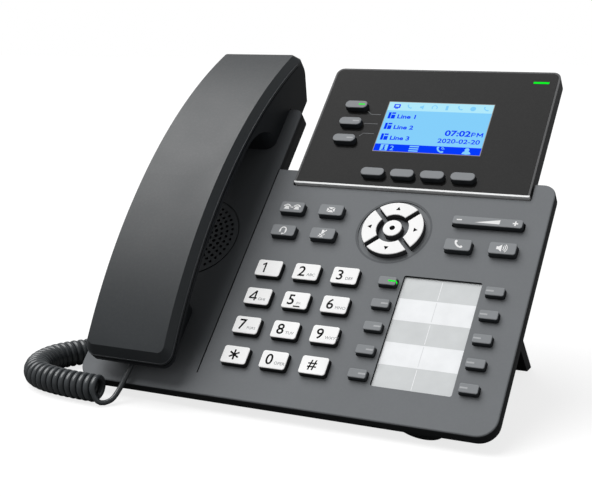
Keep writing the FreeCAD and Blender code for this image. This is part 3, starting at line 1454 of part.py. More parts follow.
def cord_leads():
    """Two plain leads: from the handset's plug to the coil, and from the coil to the base."""
    front, front_out, back, back_out = coil_ends()
    plug_front = MOUTH_BLOCK_START - PLUG_PROUD
    handset_exit = table_point(HANDSET_PLUG_X, plug_front, HANDSET_PLUG_HEIGHT)
    handset_run = table_point(HANDSET_PLUG_X, plug_front - HANDSET_LEAD_RUN, HANDSET_PLUG_HEIGHT)
    base_height = base_plug_floor() + PLUG_HEIGHT / 2
    base_exit = table_point(-BELLY_RIGHT - PLUG_PROUD, HANDSET_SOCKET_Y, base_height)
    base_run = base_exit - Vector(BASE_LEAD_RUN, 0, 0)
    handset_points = [front, front + front_out * COIL_FRONT_EXIT]
    handset_points += [Vector(*point) for point in HANDSET_LEAD_ROUTE]
    handset_points += [handset_run, handset_exit]
    base_points = [back, back + back_out * COIL_BACK_EXIT]
    base_points += [Vector(*point) for point in BASE_LEAD_ROUTE]
    base_points += [base_run, base_exit]
    return Part.makeCompound([lead(handset_points, "handset lead"), lead(base_points, "base lead")])


def panel_pieces():
    """Every piece drawn in the panel's frame, by name."""
    pieces = {
        "front_housing": front_housing(),
        "rear_housing": rear_housing(),
        "display_housing": display_housing(),
        "display_lens": display_lens(),
        "lcd_module": lcd_module(),
        "main_board": main_board(),
        "key_mat": key_mat(),
        "loudspeaker": loudspeaker(),
        "screws": screws(),
        "hook_switch": hook_switch(),
        "handset_top_shell": handset_top_shell(),
        "handset_bottom_shell": handset_bottom_shell(),
        "handset_capsules": handset_capsules(),
        "handset_plug": handset_plug(),
        "base_plug": base_plug(),
        "volume_rocker": volume_rocker(),
        "ok_key": ok_key(),
    }
    for quarter, name in enumerate(["nav_up_key", "nav_left_key", "nav_down_key", "nav_right_key"]):
        pieces[name] = nav_key(quarter)
    for name, x, y, width, length, corner, height in key_places():
        pieces[name] = key_solid(x, y, width, length, corner, height, -PANEL_SKIN)
    size = (DISPLAY_KEY_WIDTH, DISPLAY_KEY_LENGTH, DISPLAY_KEY_CORNER, DISPLAY_KEY_HEIGHT)
    for name, x, y in display_key_places():
        pieces[name] = key_solid(x, y, *size, LENS_UNDERSIDE)
    return pieces


def build():
    """Tilt the pieces onto the table, centre the phone over the origin and write the parts."""
    pieces = {name: on_table(shape) for name, shape in panel_pieces().items()}
    pieces["rubber_feet"] = rubber_feet()
    pieces["stand"] = stand()
    cord_pieces = ("handset_plug", "base_plug")
    bounds = FreeCAD.BoundBox()
    for name, shape in pieces.items():
        if name not in cord_pieces:
            bounds.add(shape.optimalBoundingBox(False))
    pieces["curly_cord"] = curly_cord()
    pieces["cord_leads"] = cord_leads()
    centre = Vector(-bounds.Center.x, -bounds.Center.y, -bounds.ZMin)
    print("size", round(bounds.XLength, 2), round(bounds.YLength, 2), round(bounds.ZLength, 2))
    print("shift", round(centre.x, 3), round(centre.y, 3), round(centre.z, 3))
    os.makedirs("parts", exist_ok=True)
    for name, shape in pieces.items():
        shape.translate(centre)
        shape.exportStep("parts/%s.step" % name)


build()
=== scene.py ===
import math

import bmesh
import bpy
from mathutils import Matrix, Vector


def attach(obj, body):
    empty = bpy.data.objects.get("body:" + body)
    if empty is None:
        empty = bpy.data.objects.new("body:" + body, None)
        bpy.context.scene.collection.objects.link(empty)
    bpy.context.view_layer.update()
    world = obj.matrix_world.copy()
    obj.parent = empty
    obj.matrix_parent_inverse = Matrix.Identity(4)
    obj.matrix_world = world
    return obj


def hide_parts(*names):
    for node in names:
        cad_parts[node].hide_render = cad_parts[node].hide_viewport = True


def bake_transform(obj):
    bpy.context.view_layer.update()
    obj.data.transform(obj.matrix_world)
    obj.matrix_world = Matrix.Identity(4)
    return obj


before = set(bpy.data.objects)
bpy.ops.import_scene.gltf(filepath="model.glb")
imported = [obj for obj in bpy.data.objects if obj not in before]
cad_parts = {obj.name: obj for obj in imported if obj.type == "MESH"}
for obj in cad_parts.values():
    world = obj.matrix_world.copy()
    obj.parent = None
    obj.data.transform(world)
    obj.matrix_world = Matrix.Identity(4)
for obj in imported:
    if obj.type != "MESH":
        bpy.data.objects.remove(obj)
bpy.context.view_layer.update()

# Camera, floor and light. The camera stands in front of the desk, to the right of the phone and above it.
# The floor is a plain pale table that keeps the phone's shadow. A white studio dome and one wide soft lamp,
# from above and left, light it.
scene = bpy.context.scene
scene.view_settings.view_transform = "Standard"
camera = bpy.data.objects.new("camera", bpy.data.cameras.new("camera"))
camera.data.lens = 71.8
camera.data.sensor_fit = "HORIZONTAL"
camera.data.sensor_width = 36
camera.location = (0.2283, -0.52307, 0.1780)
camera.rotation_euler = Vector((-0.4216, 0.8863, -0.1918)).to_track_quat("-Z", "Y").to_euler()
scene.collection.objects.link(camera)
scene.camera = camera

dome = bpy.data.worlds.new("studio_dome")
dome.use_nodes = True
scene.world = dome
dome_level = dome.node_tree.nodes.new("ShaderNodeMapRange")
dome_level.inputs["To Min"].default_value = 0.33
dome_level.inputs["To Max"].default_value = 1.0
dome_path = dome.node_tree.nodes.new("ShaderNodeLightPath")
dome.node_tree.links.new(dome_path.outputs["Is Camera Ray"], dome_level.inputs["Value"])
dome_light = dome.node_tree.nodes["Background"]
dome_light.inputs["Color"].default_value = (1, 1, 1, 1)
dome.node_tree.links.new(dome_level.outputs["Result"], dome_light.inputs["Strength"])

lamp = bpy.data.objects.new("soft_lamp", bpy.data.lights.new("soft_lamp", "SUN"))
lamp.data.energy = 2.85
lamp.data.angle = math.radians(50)
lamp.rotation_euler = Vector((0.42, 0.06, -0.90)).to_track_quat("-Z", "Y").to_euler()
scene.collection.objects.link(lamp)

floor_shape = bmesh.new()
bmesh.ops.create_grid(floor_shape, x_segments=4, y_segments=4, size=4.0)
floor = bpy.data.objects.new("floor", bpy.data.meshes.new("floor"))
floor_shape.to_mesh(floor.data)
floor_shape.free()
scene.collection.objects.link(floor)
floor_paint = bpy.data.materials.new("pale_floor")
floor_paint.use_nodes = True
floor_tree = floor_paint.node_tree
floor_speckle = floor_tree.nodes.new("ShaderNodeTexNoise")
floor_speckle.inputs["Scale"].default_value = 40
floor_tone = floor_tree.nodes.new("ShaderNodeMapRange")
floor_tone.inputs["To Min"].default_value = 0.25
floor_tone.inputs["To Max"].default_value = 0.27
floor_tree.links.new(floor_speckle.outputs["Fac"], floor_tone.inputs["Value"])
floor_level = floor_tree.nodes.new("ShaderNodeMix")
floor_level.inputs[2].default_value = 0.14
floor_path = floor_tree.nodes.new("ShaderNodeLightPath")
floor_tree.links.new(floor_path.outputs["Is Camera Ray"], floor_level.inputs[0])
floor_tree.links.new(floor_tone.outputs["Result"], floor_level.inputs[3])
floor_face = floor_tree.nodes["Principled BSDF"]
floor_tree.links.new(floor_level.outputs[0], floor_face.inputs["Base Color"])
floor_face.inputs["Roughness"].default_value = 0.9
floor_face.inputs["Emission Color"].default_value = (1, 1, 1, 1)
floor_glow = floor_tree.nodes.new("ShaderNodeMath")
floor_glow.operation = "MULTIPLY"
floor_glow.inputs[1].default_value = 0.78
floor_tree.links.new(floor_path.outputs["Is Camera Ray"], floor_glow.inputs[0])
floor_tree.links.new(floor_glow.outputs[0], floor_face.inputs["Emission Strength"])
floor_face.inputs["Specular IOR Level"].default_value = 0.0
floor.data.materials.append(floor_paint)

# Curly cord: black vinyl flex from the socket in the phone's left side to the handset's mouth end.
# Its middle is wound into a tight spiral of flattened turns that lies on the table. Both ends are plain leads
# with small clip-in plugs.
wire = 0.0025
spiral_radius = 0.00552
spiral_turns = 48
points_per_turn = 16
flat_spread = 0.53
row_shift = 72.476
spiral_axis = [
    (-84.0, -9.7, 6.8), (-117.6, -9.7, 6.8), (-135.3, 8.4, 6.8), (-134.7, 33.6, 6.8),
    (-97.4, 68.4, 6.8), (-97.4, 114.2, 6.8),
]
base_route = [
    (-87.8, 48.4, 30.0), (-95.3, 48.4, 30.0), (-101.5, 54.5, 31.4), (-102.4, 67.0, 34.6),
    (-103.0, 82.0, 36.0), (-103.5, 98.0, 32.0), (-103.4, 113.0, 20.0),
]
handset_route = [
    (-81.0, -15.2, 1.4), (-76.9, -10.9, 1.9), (-76.0, -6.9, 4.6), (-75.0, -3.0, 9.0),
    (-73.5, 1.36, 15.5), (-73.5, 4.94, 18.97),
]


def on_table(points):
    """Route points in table millimetres as places in the row frame."""
    return [Vector((x, y - row_shift, z)) / 1000 for x, y, z in points]


def smooth_line(points, steps):
    """Points read from the smooth line that has these as its control points."""
    curve = bpy.data.curves.new("route", "CURVE")
    curve.dimensions = "3D"
    curve.resolution_u = steps
    spline = curve.splines.new("NURBS")
    spline.points.add(len(points) - 1)
    for place, point in zip(spline.points, points):
        place.co = (*point, 1)
    spline.order_u = 3
    spline.use_endpoint_u = True
    holder = bpy.data.objects.new("route", curve)
    mesh = bpy.data.meshes.new_from_object(holder)
    line = [vertex.co.copy() for vertex in mesh.vertices]
    bpy.data.meshes.remove(mesh)
    bpy.data.objects.remove(holder)
    bpy.data.curves.remove(curve)
    return line


def wound_round(axis):
    """Spiral of the cord round a middle line, from its front end on the near side."""
    runs = [0.0]
    for before, after in zip(axis, axis[1:]):
        runs.append(runs[-1] + (after - before).length)
    count = spiral_turns * points_per_turn
    places = []
    headings = []
    step = 0
    for i in range(count + 1):
        along = runs[-1] * i / count
        while step < len(axis) - 2 and runs[step + 1] < along:
            step += 1
        heading = axis[step + 1] - axis[step]
        middle = axis[step] + heading * ((along - runs[step]) / heading.length)
        out = Vector((-heading.y, heading.x, 0)).normalized()
        turn = 2 * math.pi * i / points_per_turn
        places.append(middle + spiral_radius * (out * math.cos(turn) + Vector((0, 0, math.sin(turn)))))
        headings.append(heading.normalized())
    return places, headings


def tube_mesh(name, line, radius, sides, spreads):
    """Closed tube along a line, its rings turned as little as possible and widened one way where given."""
    mesh = bpy.data.meshes.new(name)
    points = []
    faces = []
    heading = (line[1] - line[0]).normalized()
    side = heading.orthogonal().normalized()
    for i, place in enumerate(line):
        ahead = line[min(i + 1, len(line) - 1)] - line[max(i - 1, 0)]
        heading = ahead.normalized()
        side = (side - heading * side.dot(heading)).normalized()
        other = heading.cross(side)
        for k in range(sides):
            angle = 2 * math.pi * k / sides
            reach = radius * (side * math.cos(angle) + other * math.sin(angle))
            points.append(place + reach + spreads[i] * reach.dot(spreads[i]))
        if i:
            low = (i - 1) * sides
            for k in range(sides):
                after = (k + 1) % sides
                faces.append((low + k, low + after, low + sides + after, low + sides + k))
    faces.append(tuple(reversed(range(sides))))
    faces.append(tuple(range(len(points) - sides, len(points))))
    mesh.from_pydata(points, [], faces)
    mesh.polygons.foreach_set("use_smooth", [True] * len(mesh.polygons))
    return mesh


spiral, headings = wound_round(smooth_line(on_table(spiral_axis), 40))
cord_route = on_table(base_route) + spiral[::-1] + on_table(handset_route)
cord_line = smooth_line(cord_route, 3)
plain = Vector((0, 0, 0))
widths = [plain] * len(base_route) + [h * flat_spread for h in headings[::-1]] + [plain] * len(handset_route)
spreads = [widths[round(i * (len(widths) - 1) / (len(cord_line) - 1))] for i in range(len(cord_line))]
cord_sides = 12
curly = bpy.data.objects.new("curly_flex", tube_mesh("curly_flex", cord_line, wire / 2, cord_sides, spreads))
scene.collection.objects.link(curly)


def new_group(name, inputs, outputs):
    """Shader node group with named number inputs and outputs."""
    group = bpy.data.node_groups.new(name, "ShaderNodeTree")
    for label, value in inputs.items():
        socket = group.interface.new_socket(label, in_out="INPUT", socket_type="NodeSocketFloat")
        socket.default_value = value
    for label in outputs:
        group.interface.new_socket(label, in_out="OUTPUT", socket_type="NodeSocketFloat")
    return group, group.nodes.new("NodeGroupInput"), group.nodes.new("NodeGroupOutput")


def add(tree, kind, **values):
    """New node with values for its settings and its inputs by name."""
    node = tree.nodes.new(kind)
    for label, value in values.items():
        if label in node.bl_rna.properties:
            setattr(node, label, value)
        else:
            node.inputs[label.replace("_", " ")].default_value = value
    return node


mould_grain, grain_in, grain_out = new_group(
    "mould_grain", {"Grain": 2200, "Mottle": 45}, ["Height", "Mottle"])
grain_place = add(mould_grain, "ShaderNodeTexCoord")
grain_fine = add(mould_grain, "ShaderNodeTexNoise", Detail=2)
grain_wide = add(mould_grain, "ShaderNodeTexNoise", Detail=5)
mould_grain.links.new(grain_place.outputs["Object"], grain_fine.inputs["Vector"])
mould_grain.links.new(grain_place.outputs["Object"], grain_wide.inputs["Vector"])
mould_grain.links.new(grain_in.outputs["Grain"], grain_fine.inputs["Scale"])
mould_grain.links.new(grain_in.outputs["Mottle"], grain_wide.inputs["Scale"])
mould_grain.links.new(grain_fine.outputs["Fac"], grain_out.inputs["Height"])
mould_grain.links.new(grain_wide.outputs["Fac"], grain_out.inputs["Mottle"])

settled_dust, dust_in, dust_out = new_group("settled_dust", {"Amount": 0.05}, ["Mask"])
dust_place = add(settled_dust, "ShaderNodeTexCoord")
dust_specks = add(settled_dust, "ShaderNodeTexNoise", Scale=900, Detail=3)
dust_facing = add(settled_dust, "ShaderNodeSeparateXYZ")
dust_normal = add(settled_dust, "ShaderNodeNewGeometry")
dust_up = add(settled_dust, "ShaderNodeMapRange", From_Min=0.2, From_Max=0.9)
dust_thin = add(settled_dust, "ShaderNodeMapRange", From_Min=0.45, From_Max=0.75)
dust_both = add(settled_dust, "ShaderNodeMath", operation="MULTIPLY")
dust_amount = add(settled_dust, "ShaderNodeMath", operation="MULTIPLY")
settled_dust.links.new(dust_place.outputs["Object"], dust_specks.inputs["Vector"])
settled_dust.links.new(dust_normal.outputs["Normal"], dust_facing.inputs[0])
settled_dust.links.new(dust_facing.outputs["Z"], dust_up.inputs["Value"])
settled_dust.links.new(dust_specks.outputs["Fac"], dust_thin.inputs["Value"])
settled_dust.links.new(dust_up.outputs["Result"], dust_both.inputs[0])
settled_dust.links.new(dust_thin.outputs["Result"], dust_both.inputs[1])
settled_dust.links.new(dust_both.outputs[0], dust_amount.inputs[0])
settled_dust.links.new(dust_in.outputs["Amount"], dust_amount.inputs[1])
settled_dust.links.new(dust_amount.outputs[0], dust_out.inputs["Mask"])

out_of_panel = (0, -0.6984, 0.7157)
panel_facing, facing_in, facing_out = new_group("panel_facing", {"Low": 0.35, "High": 0.60}, ["Mask"])
facing_normal = add(panel_facing, "ShaderNodeNewGeometry")
facing_dot = add(panel_facing, "ShaderNodeVectorMath", operation="DOT_PRODUCT")
facing_dot.inputs[1].default_value = out_of_panel
facing_mask = add(panel_facing, "ShaderNodeMapRange", interpolation_type="SMOOTHSTEP")
panel_facing.links.new(facing_normal.outputs["Normal"], facing_dot.inputs[0])
panel_facing.links.new(facing_dot.outputs["Value"], facing_mask.inputs["Value"])
panel_facing.links.new(facing_in.outputs["Low"], facing_mask.inputs["From Min"])
panel_facing.links.new(facing_in.outputs["High"], facing_mask.inputs["From Max"])
panel_facing.links.new(facing_mask.outputs["Result"], facing_out.inputs["Mask"])


def shade(code):
    """Colour of a six-figure code, as it reads on a screen."""
    parts = [int(code[i:i + 2], 16) / 255 for i in (0, 2, 4)]
    return tuple(c / 12.92 if c <= 0.04045 else ((c + 0.055) / 1.055) ** 2.4 for c in parts) + (1,)


def moulded(name, top, side, roughness, gloss=0.3, grain=2200, mottle=45, bump=0.15, dust=0.03):
    """Moulded plastic: one colour on faces that look out of the panel, one on the rest, with a fine grain."""
    material = bpy.data.materials.new(name)
    material.use_nodes = True
    tree = material.node_tree
    shader = tree.nodes["Principled BSDF"]
    skin = add(tree, "ShaderNodeGroup", node_tree=mould_grain)
    skin.inputs["Grain"].default_value = grain
    skin.inputs["Mottle"].default_value = mottle
    colour = add(tree, "ShaderNodeMix", data_type="RGBA")
    colour.inputs[6].default_value = shade(side)
    colour.inputs[7].default_value = shade(top)
    facing = add(tree, "ShaderNodeGroup", node_tree=panel_facing)
    tree.links.new(facing.outputs["Mask"], colour.inputs[0])
    tone = add(tree, "ShaderNodeMapRange", To_Min=0.88, To_Max=1.12)
    tree.links.new(skin.outputs["Mottle"], tone.inputs["Value"])
    toned = add(tree, "ShaderNodeMix", data_type="RGBA", blend_type="MULTIPLY")
    toned.inputs[0].default_value = 1
    tree.links.new(colour.outputs[2], toned.inputs[6])
    tree.links.new(tone.outputs["Result"], toned.inputs[7])
    dusty = add(tree, "ShaderNodeMix", data_type="RGBA")
    dusty.inputs[7].default_value = shade("B8B5AE")
    specks = add(tree, "ShaderNodeGroup", node_tree=settled_dust)
    specks.inputs["Amount"].default_value = dust
    tree.links.new(specks.outputs["Mask"], dusty.inputs[0])
    tree.links.new(toned.outputs[2], dusty.inputs[6])
    tree.links.new(dusty.outputs[2], shader.inputs["Base Color"])
    rough = add(tree, "ShaderNodeMapRange", To_Min=roughness - 0.07, To_Max=roughness + 0.07)
    tree.links.new(skin.outputs["Mottle"], rough.inputs["Value"])
    tree.links.new(rough.outputs["Result"], shader.inputs["Roughness"])
    relief = add(tree, "ShaderNodeBump", Strength=bump, Distance=0.0001)
    tree.links.new(skin.outputs["Height"], relief.inputs["Height"])
    tree.links.new(relief.outputs["Normal"], shader.inputs["Normal"])
    shader.inputs["Specular IOR Level"].default_value = gloss
    return material


def paint_over(material, mask, code):
    """Lays a second colour over a finish where a mask is 1."""
    tree = material.node_tree
    base = tree.nodes["Principled BSDF"].inputs["Base Color"]
    layer = add(tree, "ShaderNodeMix", data_type="RGBA")
    layer.inputs[7].default_value = shade(code)
    tree.links.new(mask, layer.inputs[0])
    tree.links.new(base.links[0].from_socket, layer.inputs[6])
    tree.links.new(layer.outputs[2], base)


def dress(name, material):
    """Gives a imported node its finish."""
    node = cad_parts[name]
    node.data.materials.clear()
    node.data.materials.append(material)


curly.data.materials.append(moulded(
    "black_vinyl", "3C4043", "3C4043", 0.32, gloss=0.65, grain=3000, mottle=220, bump=0.05, dust=0.02))
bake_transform(curly)
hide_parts("curly_cord", "cord_leads")
smoke_plug = moulded("smoke_plug", "3A3D40", "3A3D40", 0.25, gloss=0.5, grain=900, bump=0.04)
dress("base_plug", smoke_plug)
dress("handset_plug", smoke_plug)

# Rear housing, stand and feet: a black moulded plastic tray under the panel, with a stand plate that folds on
# two pins, two round rubber feet under the belly, and six steel screws that hold the case together.
dark_case = moulded("dark_case", "2A2C2E", "2A2C2E", 0.55, gloss=0.25, dust=0.02)
dress("rear_housing", dark_case)
dress("stand", dark_case)
dress("rubber_feet", moulded("foot_rubber", "1C1D1E", "1C1D1E", 0.85, gloss=0.15, grain=1500, bump=0.3))
screw_steel = moulded("screw_steel", "9A9C9F", "9A9C9F", 0.35, gloss=0.5, grain=4000, bump=0.05, dust=0)
screw_steel.node_tree.nodes["Principled BSDF"].inputs["Metallic"].default_value = 1
dress("screws", screw_steel)

# Board, key mat, loudspeaker and hook switch: what lies between the two halves of the case.
# A green glass-fibre board, a grey rubber mat under the keys, a paper cone behind the grille.
dress("main_board", moulded("board_green", "1E5A34", "1E5A34", 0.4, gloss=0.5, grain=700, mottle=300, dust=0))
dress("key_mat", moulded("mat_rubber", "8C8F90", "8C8F90", 0.8, gloss=0.2, grain=1200, dust=0))
dress("loudspeaker", moulded("speaker_cone", "0E0F10", "0E0F10", 0.7, gloss=0.2, grain=500, bump=0.3, dust=0))
dress("hook_switch", moulded("hook_plastic", "34373A", "2A2C2E", 0.5))

# Front housing: the wide grey panel, moulded in one piece with the cradle and its tower.
# The broad face has a fine matt grain. Painted shade darkens the cradle for the handset's shadow, and a thin
# ring of painted shade marks the groove round the navigation keys.
# Edges and recess walls are near black.
panel_grey = moulded("panel_grey", "707376", "26282A", 0.6, gloss=0.2)
panel_tree = panel_grey.node_tree
up_the_panel = (0, 0.7157, 0.6984)
# Painted shade for the handset's shadow: the cradle left of the seam is darkened, fading out towards the
# front.
cradle_place = add(panel_tree, "ShaderNodeTexCoord")
cradle_across = add(panel_tree, "ShaderNodeSeparateXYZ")
cradle_side = add(panel_tree, "ShaderNodeMath", operation="LESS_THAN")
cradle_side.inputs[1].default_value = -0.0409
cradle_up = add(panel_tree, "ShaderNodeVectorMath", operation="DOT_PRODUCT")
cradle_up.inputs[1].default_value = up_the_panel
cradle_shade_fade = add(
    panel_tree, "ShaderNodeMapRange", interpolation_type="SMOOTHSTEP", From_Min=-0.042, From_Max=-0.016)
cradle_face = add(panel_tree, "ShaderNodeGroup", node_tree=panel_facing)
cradle_long = add(panel_tree, "ShaderNodeMath", operation="MULTIPLY")
painted_cradle_shade = add(panel_tree, "ShaderNodeMath", operation="MULTIPLY")
panel_tree.links.new(cradle_place.outputs["Object"], cradle_across.inputs[0])
panel_tree.links.new(cradle_place.outputs["Object"], cradle_up.inputs[0])
panel_tree.links.new(cradle_across.outputs["X"], cradle_side.inputs[0])
panel_tree.links.new(cradle_up.outputs["Value"], cradle_shade_fade.inputs["Value"])
panel_tree.links.new(cradle_side.outputs[0], cradle_long.inputs[0])
panel_tree.links.new(cradle_shade_fade.outputs["Result"], cradle_long.inputs[1])
panel_tree.links.new(cradle_long.outputs[0], painted_cradle_shade.inputs[0])
panel_tree.links.new(cradle_face.outputs["Mask"], painted_cradle_shade.inputs[1])
paint_over(panel_grey, painted_cradle_shade.outputs[0], "505356")
# Painted shade: a thin darker ring stands in for the shade at the rim of the dish round the navigation keys.
groove_reach = add(panel_tree, "ShaderNodeVectorMath", operation="DISTANCE")
groove_middle = (0.03165, -0.00098, 0.07777)
groove_radius = 0.0184
groove_half_width = 0.0005
groove_reach.inputs[1].default_value = groove_middle
painted_groove_shade = add(panel_tree, "ShaderNodeMath", operation="COMPARE")
painted_groove_shade.inputs[1].default_value = groove_radius
painted_groove_shade.inputs[2].default_value = groove_half_width
panel_tree.links.new(cradle_place.outputs["Object"], groove_reach.inputs[0])
panel_tree.links.new(groove_reach.outputs["Value"], painted_groove_shade.inputs[0])
paint_over(panel_grey, painted_groove_shade.outputs[0], "585B5E")
dress("front_housing", panel_grey)

# Label card: a printed paper card under the panel's window, five rows in turn grey and white.
# A fine broken line runs down the middle, pale on the grey rows and grey on the white ones.
panel_tilt = 44.3
panel_height = 0.008
panel_place = (
    Matrix.Translation((0, -row_shift / 1000, panel_height))
    @ Matrix.Rotation(math.radians(panel_tilt), 4, "X")
    @ Matrix.Scale(0.001, 4))


def raise_shape(shape, points, low, high, finish=0):
    """Adds a flat outline as a low block between two heights above the panel, in millimetres."""
    below = [shape.verts.new((x, y, low)) for x, y in points]
    above = [shape.verts.new((x, y, high)) for x, y in points]
    faces = [shape.faces.new(list(reversed(below))), shape.faces.new(above)]
    for i in range(len(points)):
        after = (i + 1) % len(points)
        faces.append(shape.faces.new((below[i], below[after], above[after], above[i])))
    for face in faces:
        face.material_index = finish


def box_points(x, y, width, length):
    """Outline of an upright rectangle about a middle."""
    return [(x + a * width / 2, y + b * length / 2) for a, b in ((-1, -1), (1, -1), (1, 1), (-1, 1))]


def panel_piece(name, shape, materials, body):
    """Makes a piece of a shape drawn on the panel, and lets it ride on a body."""
    bmesh.ops.recalc_face_normals(shape, faces=shape.faces)
    mesh = bpy.data.meshes.new(name)
    shape.to_mesh(mesh)
    shape.free()
    mesh.transform(panel_place)
    for material in materials:
        mesh.materials.append(material)
    made = bpy.data.objects.new(name, mesh)
    scene.collection.objects.link(made)
    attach(made, body)
    return made


label_x = 62.7
label_y = 46.1
label_width = 37.0
label_row = 11.68
label_low = -1.15
label_top = -1.0
line_top = label_top + 0.015
line_width = 0.28
line_break = 1.4
card = bmesh.new()
for row in range(5):
    y = label_y + (2 - row) * label_row
    raise_shape(card, box_points(label_x, y, label_width, label_row), label_low, label_top, row % 2)
    raise_shape(
        card, box_points(label_x, y, line_width, label_row - line_break), label_top, line_top, 2 + row % 2)
panel_piece("label_card", card, [
    moulded("card_grey", "D0D3D4", "D0D3D4", 0.5, gloss=0.3, grain=1600, mottle=120, bump=0.05, dust=0),
    moulded("card_white", "F2F4F6", "F2F4F6", 0.5, gloss=0.3, grain=1600, mottle=120, bump=0.05, dust=0),
    moulded("card_line_white", "F6F7F9", "F6F7F9", 0.5, grain=1600, dust=0),
    moulded("card_line_grey", "D8DADC", "D8DADC", 0.5, grain=1600, dust=0),
], "base")

# Display: a grey plastic frame that stands up from the panel, a near-black glossy lens let into it, and the
# blue-lit liquid crystal picture behind its window. The frame's lower edge is painted white, a painted
# highlight for the lamp's reflection along it.
display_frame = moulded("display_frame", "303133", "2C2E30", 0.45, gloss=0.3)
frame_tree = display_frame.node_tree
# Painted highlight: the frame's lower edge is painted white for the lamp's reflection along it.
frame_place = add(frame_tree, "ShaderNodeTexCoord")
frame_up = add(frame_tree, "ShaderNodeVectorMath", operation="DOT_PRODUCT")
frame_up.inputs[1].default_value = up_the_panel
frame_highlight_strip = add(frame_tree, "ShaderNodeMath", operation="LESS_THAN")
highlight_strip_height = 0.0790
frame_highlight_strip.inputs[1].default_value = highlight_strip_height
frame_tree.links.new(frame_place.outputs["Object"], frame_up.inputs[0])
frame_tree.links.new(frame_up.outputs["Value"], frame_highlight_strip.inputs[0])
paint_over(display_frame, frame_highlight_strip.outputs[0], "F4F5F5")
dress("display_housing", display_frame)
dress("display_lens", moulded(
    "lens_black", "1F1F1F", "1F1F1F", 0.16, gloss=0.05, grain=300, bump=0.005, dust=0.01))
dress("lcd_module", moulded("module_glass", "35506A", "20352A", 0.3, gloss=0.5, dust=0))


def glow(name, code):
    """Lit surface with the fine dots of a picture or a lamp cover."""
    material = bpy.data.materials.new(name)
    material.use_nodes = True
    tree = material.node_tree
    shader = tree.nodes["Principled BSDF"]
    place = add(tree, "ShaderNodeTexCoord")
    dots = add(tree, "ShaderNodeTexVoronoi", Scale=2300, Randomness=0)
    dim = add(tree, "ShaderNodeMapRange", From_Max=0.7, To_Min=1.0, To_Max=0.94)
    lit = add(tree, "ShaderNodeMix", data_type="RGBA", blend_type="MULTIPLY")
    lit.inputs[0].default_value = 1
    lit.inputs[6].default_value = shade(code)
    tree.links.new(place.outputs["Object"], dots.inputs["Vector"])
    tree.links.new(dots.outputs["Distance"], dim.inputs["Value"])
    tree.links.new(dim.outputs["Result"], lit.inputs[7])
    tree.links.new(lit.outputs[2], shader.inputs["Emission Color"])
    shader.inputs["Base Color"].default_value = (0.002, 0.002, 0.002, 1)
    shader.inputs["Emission Strength"].default_value = 1.0
    shader.inputs["Roughness"].default_value = 0.3
    shader.inputs["Specular IOR Level"].default_value = 0.0
    return material


def line_points(x, y, end_x, end_y, width):
    """Outline of a straight stroke."""
    run = Vector((end_x - x, end_y - y)).normalized() * width / 2
    return [
        (x - run.y, y + run.x), (x + run.y, y - run.x),
        (end_x + run.y, end_y - run.x), (end_x - run.y, end_y + run.x)]


def ring_points(x, y, inner, outer, start, end, count=14):
    """Outline of part of a ring between two angles in degrees."""
    angles = [math.radians(start + (end - start) * i / count) for i in range(count + 1)]
    out = [(x + outer * math.cos(a), y + outer * math.sin(a)) for a in angles]
    back = [(x + inner * math.cos(a), y + inner * math.sin(a)) for a in reversed(angles)]
    return out + back


def disc_points(x, y, radius, count=24):
    """Outline of a round dot."""
    angles = [2 * math.pi * i / count for i in range(count)]
    return [(x + radius * math.cos(a), y + radius * math.sin(a)) for a in angles]


def write(shape, text, x, y, height, low, high, finish=0, weight=0.0, wide=1.0):
    """Adds raised lettering whose lower left corner lies at a place on the panel."""
    letters = bpy.data.curves.new("letters", "FONT")
    letters.body = text
    letters.offset = weight
    letters.resolution_u = 4
    holder = bpy.data.objects.new("letters", letters)
    flat = bpy.data.meshes.new_from_object(holder)
    corners = [vertex.co for vertex in flat.vertices]
    left = min(c.x for c in corners)
    bottom = min(c.y for c in corners)
    scale = height / (max(c.y for c in corners) - bottom)
    for face in flat.polygons:
        points = [corners[i] for i in face.vertices]
        raise_shape(shape, [
            (x + (p.x - left) * scale * wide, y + (p.y - bottom) * scale) for p in points], low, high, finish)
    reach = (max(c.x for c in corners) - left) * scale * wide
    bpy.data.meshes.remove(flat)
    bpy.data.objects.remove(holder)
    bpy.data.curves.remove(letters)
    return reach


def handset_sign(x, y, size):
    """Outlines of a small telephone receiver."""
    middle_x = x + 1.7 * size
    middle_y = y + 1.7 * size
    sign = [ring_points(middle_x, middle_y, 2.5 * size, 3.2 * size, 186, 264)]
    for angle in (186, 264):
        end = Vector((math.cos(math.radians(angle)), math.sin(math.radians(angle)))) * 2.65 * size
        sign.append(disc_points(middle_x + end.x, middle_y + end.y, 0.56 * size, 10))
    return sign


face_z = 1.5
picture_x = 35.2
picture_y = 163.95
picture_width = 55.7
picture_height = 32.8
picture_edge = 0.35
status_height = 5.65
bar_height = 4.65
picture_top = picture_y + picture_height / 2
picture_low = picture_y - picture_height / 2
body_y = (picture_top - status_height + picture_low + bar_height) / 2
body_height = picture_height - status_height - bar_height
paper_top = face_z + 0.02
ink_top = face_z + 0.03
body_blue, status_blue, ink_blue, edge_grey = range(4)
picture = bmesh.new()
raise_shape(
    picture,
    box_points(picture_x, picture_y, picture_width + 2 * picture_edge, picture_height + 2 * picture_edge),
    face_z, face_z + 0.01, edge_grey)
for middle, height, finish in (
    (body_y, body_height, body_blue), (picture_top - status_height / 2, status_height, status_blue),
    (picture_low + bar_height / 2, bar_height, ink_blue),
):
    raise_shape(picture, box_points(picture_x, middle, picture_width, height), face_z, paper_top, finish)


def draw(outlines, finish, lift=0.0):
    """Draws flat outlines on the picture in one of its colours."""
    for outline in outlines:
        raise_shape(picture, outline, paper_top, ink_top + lift, finish)


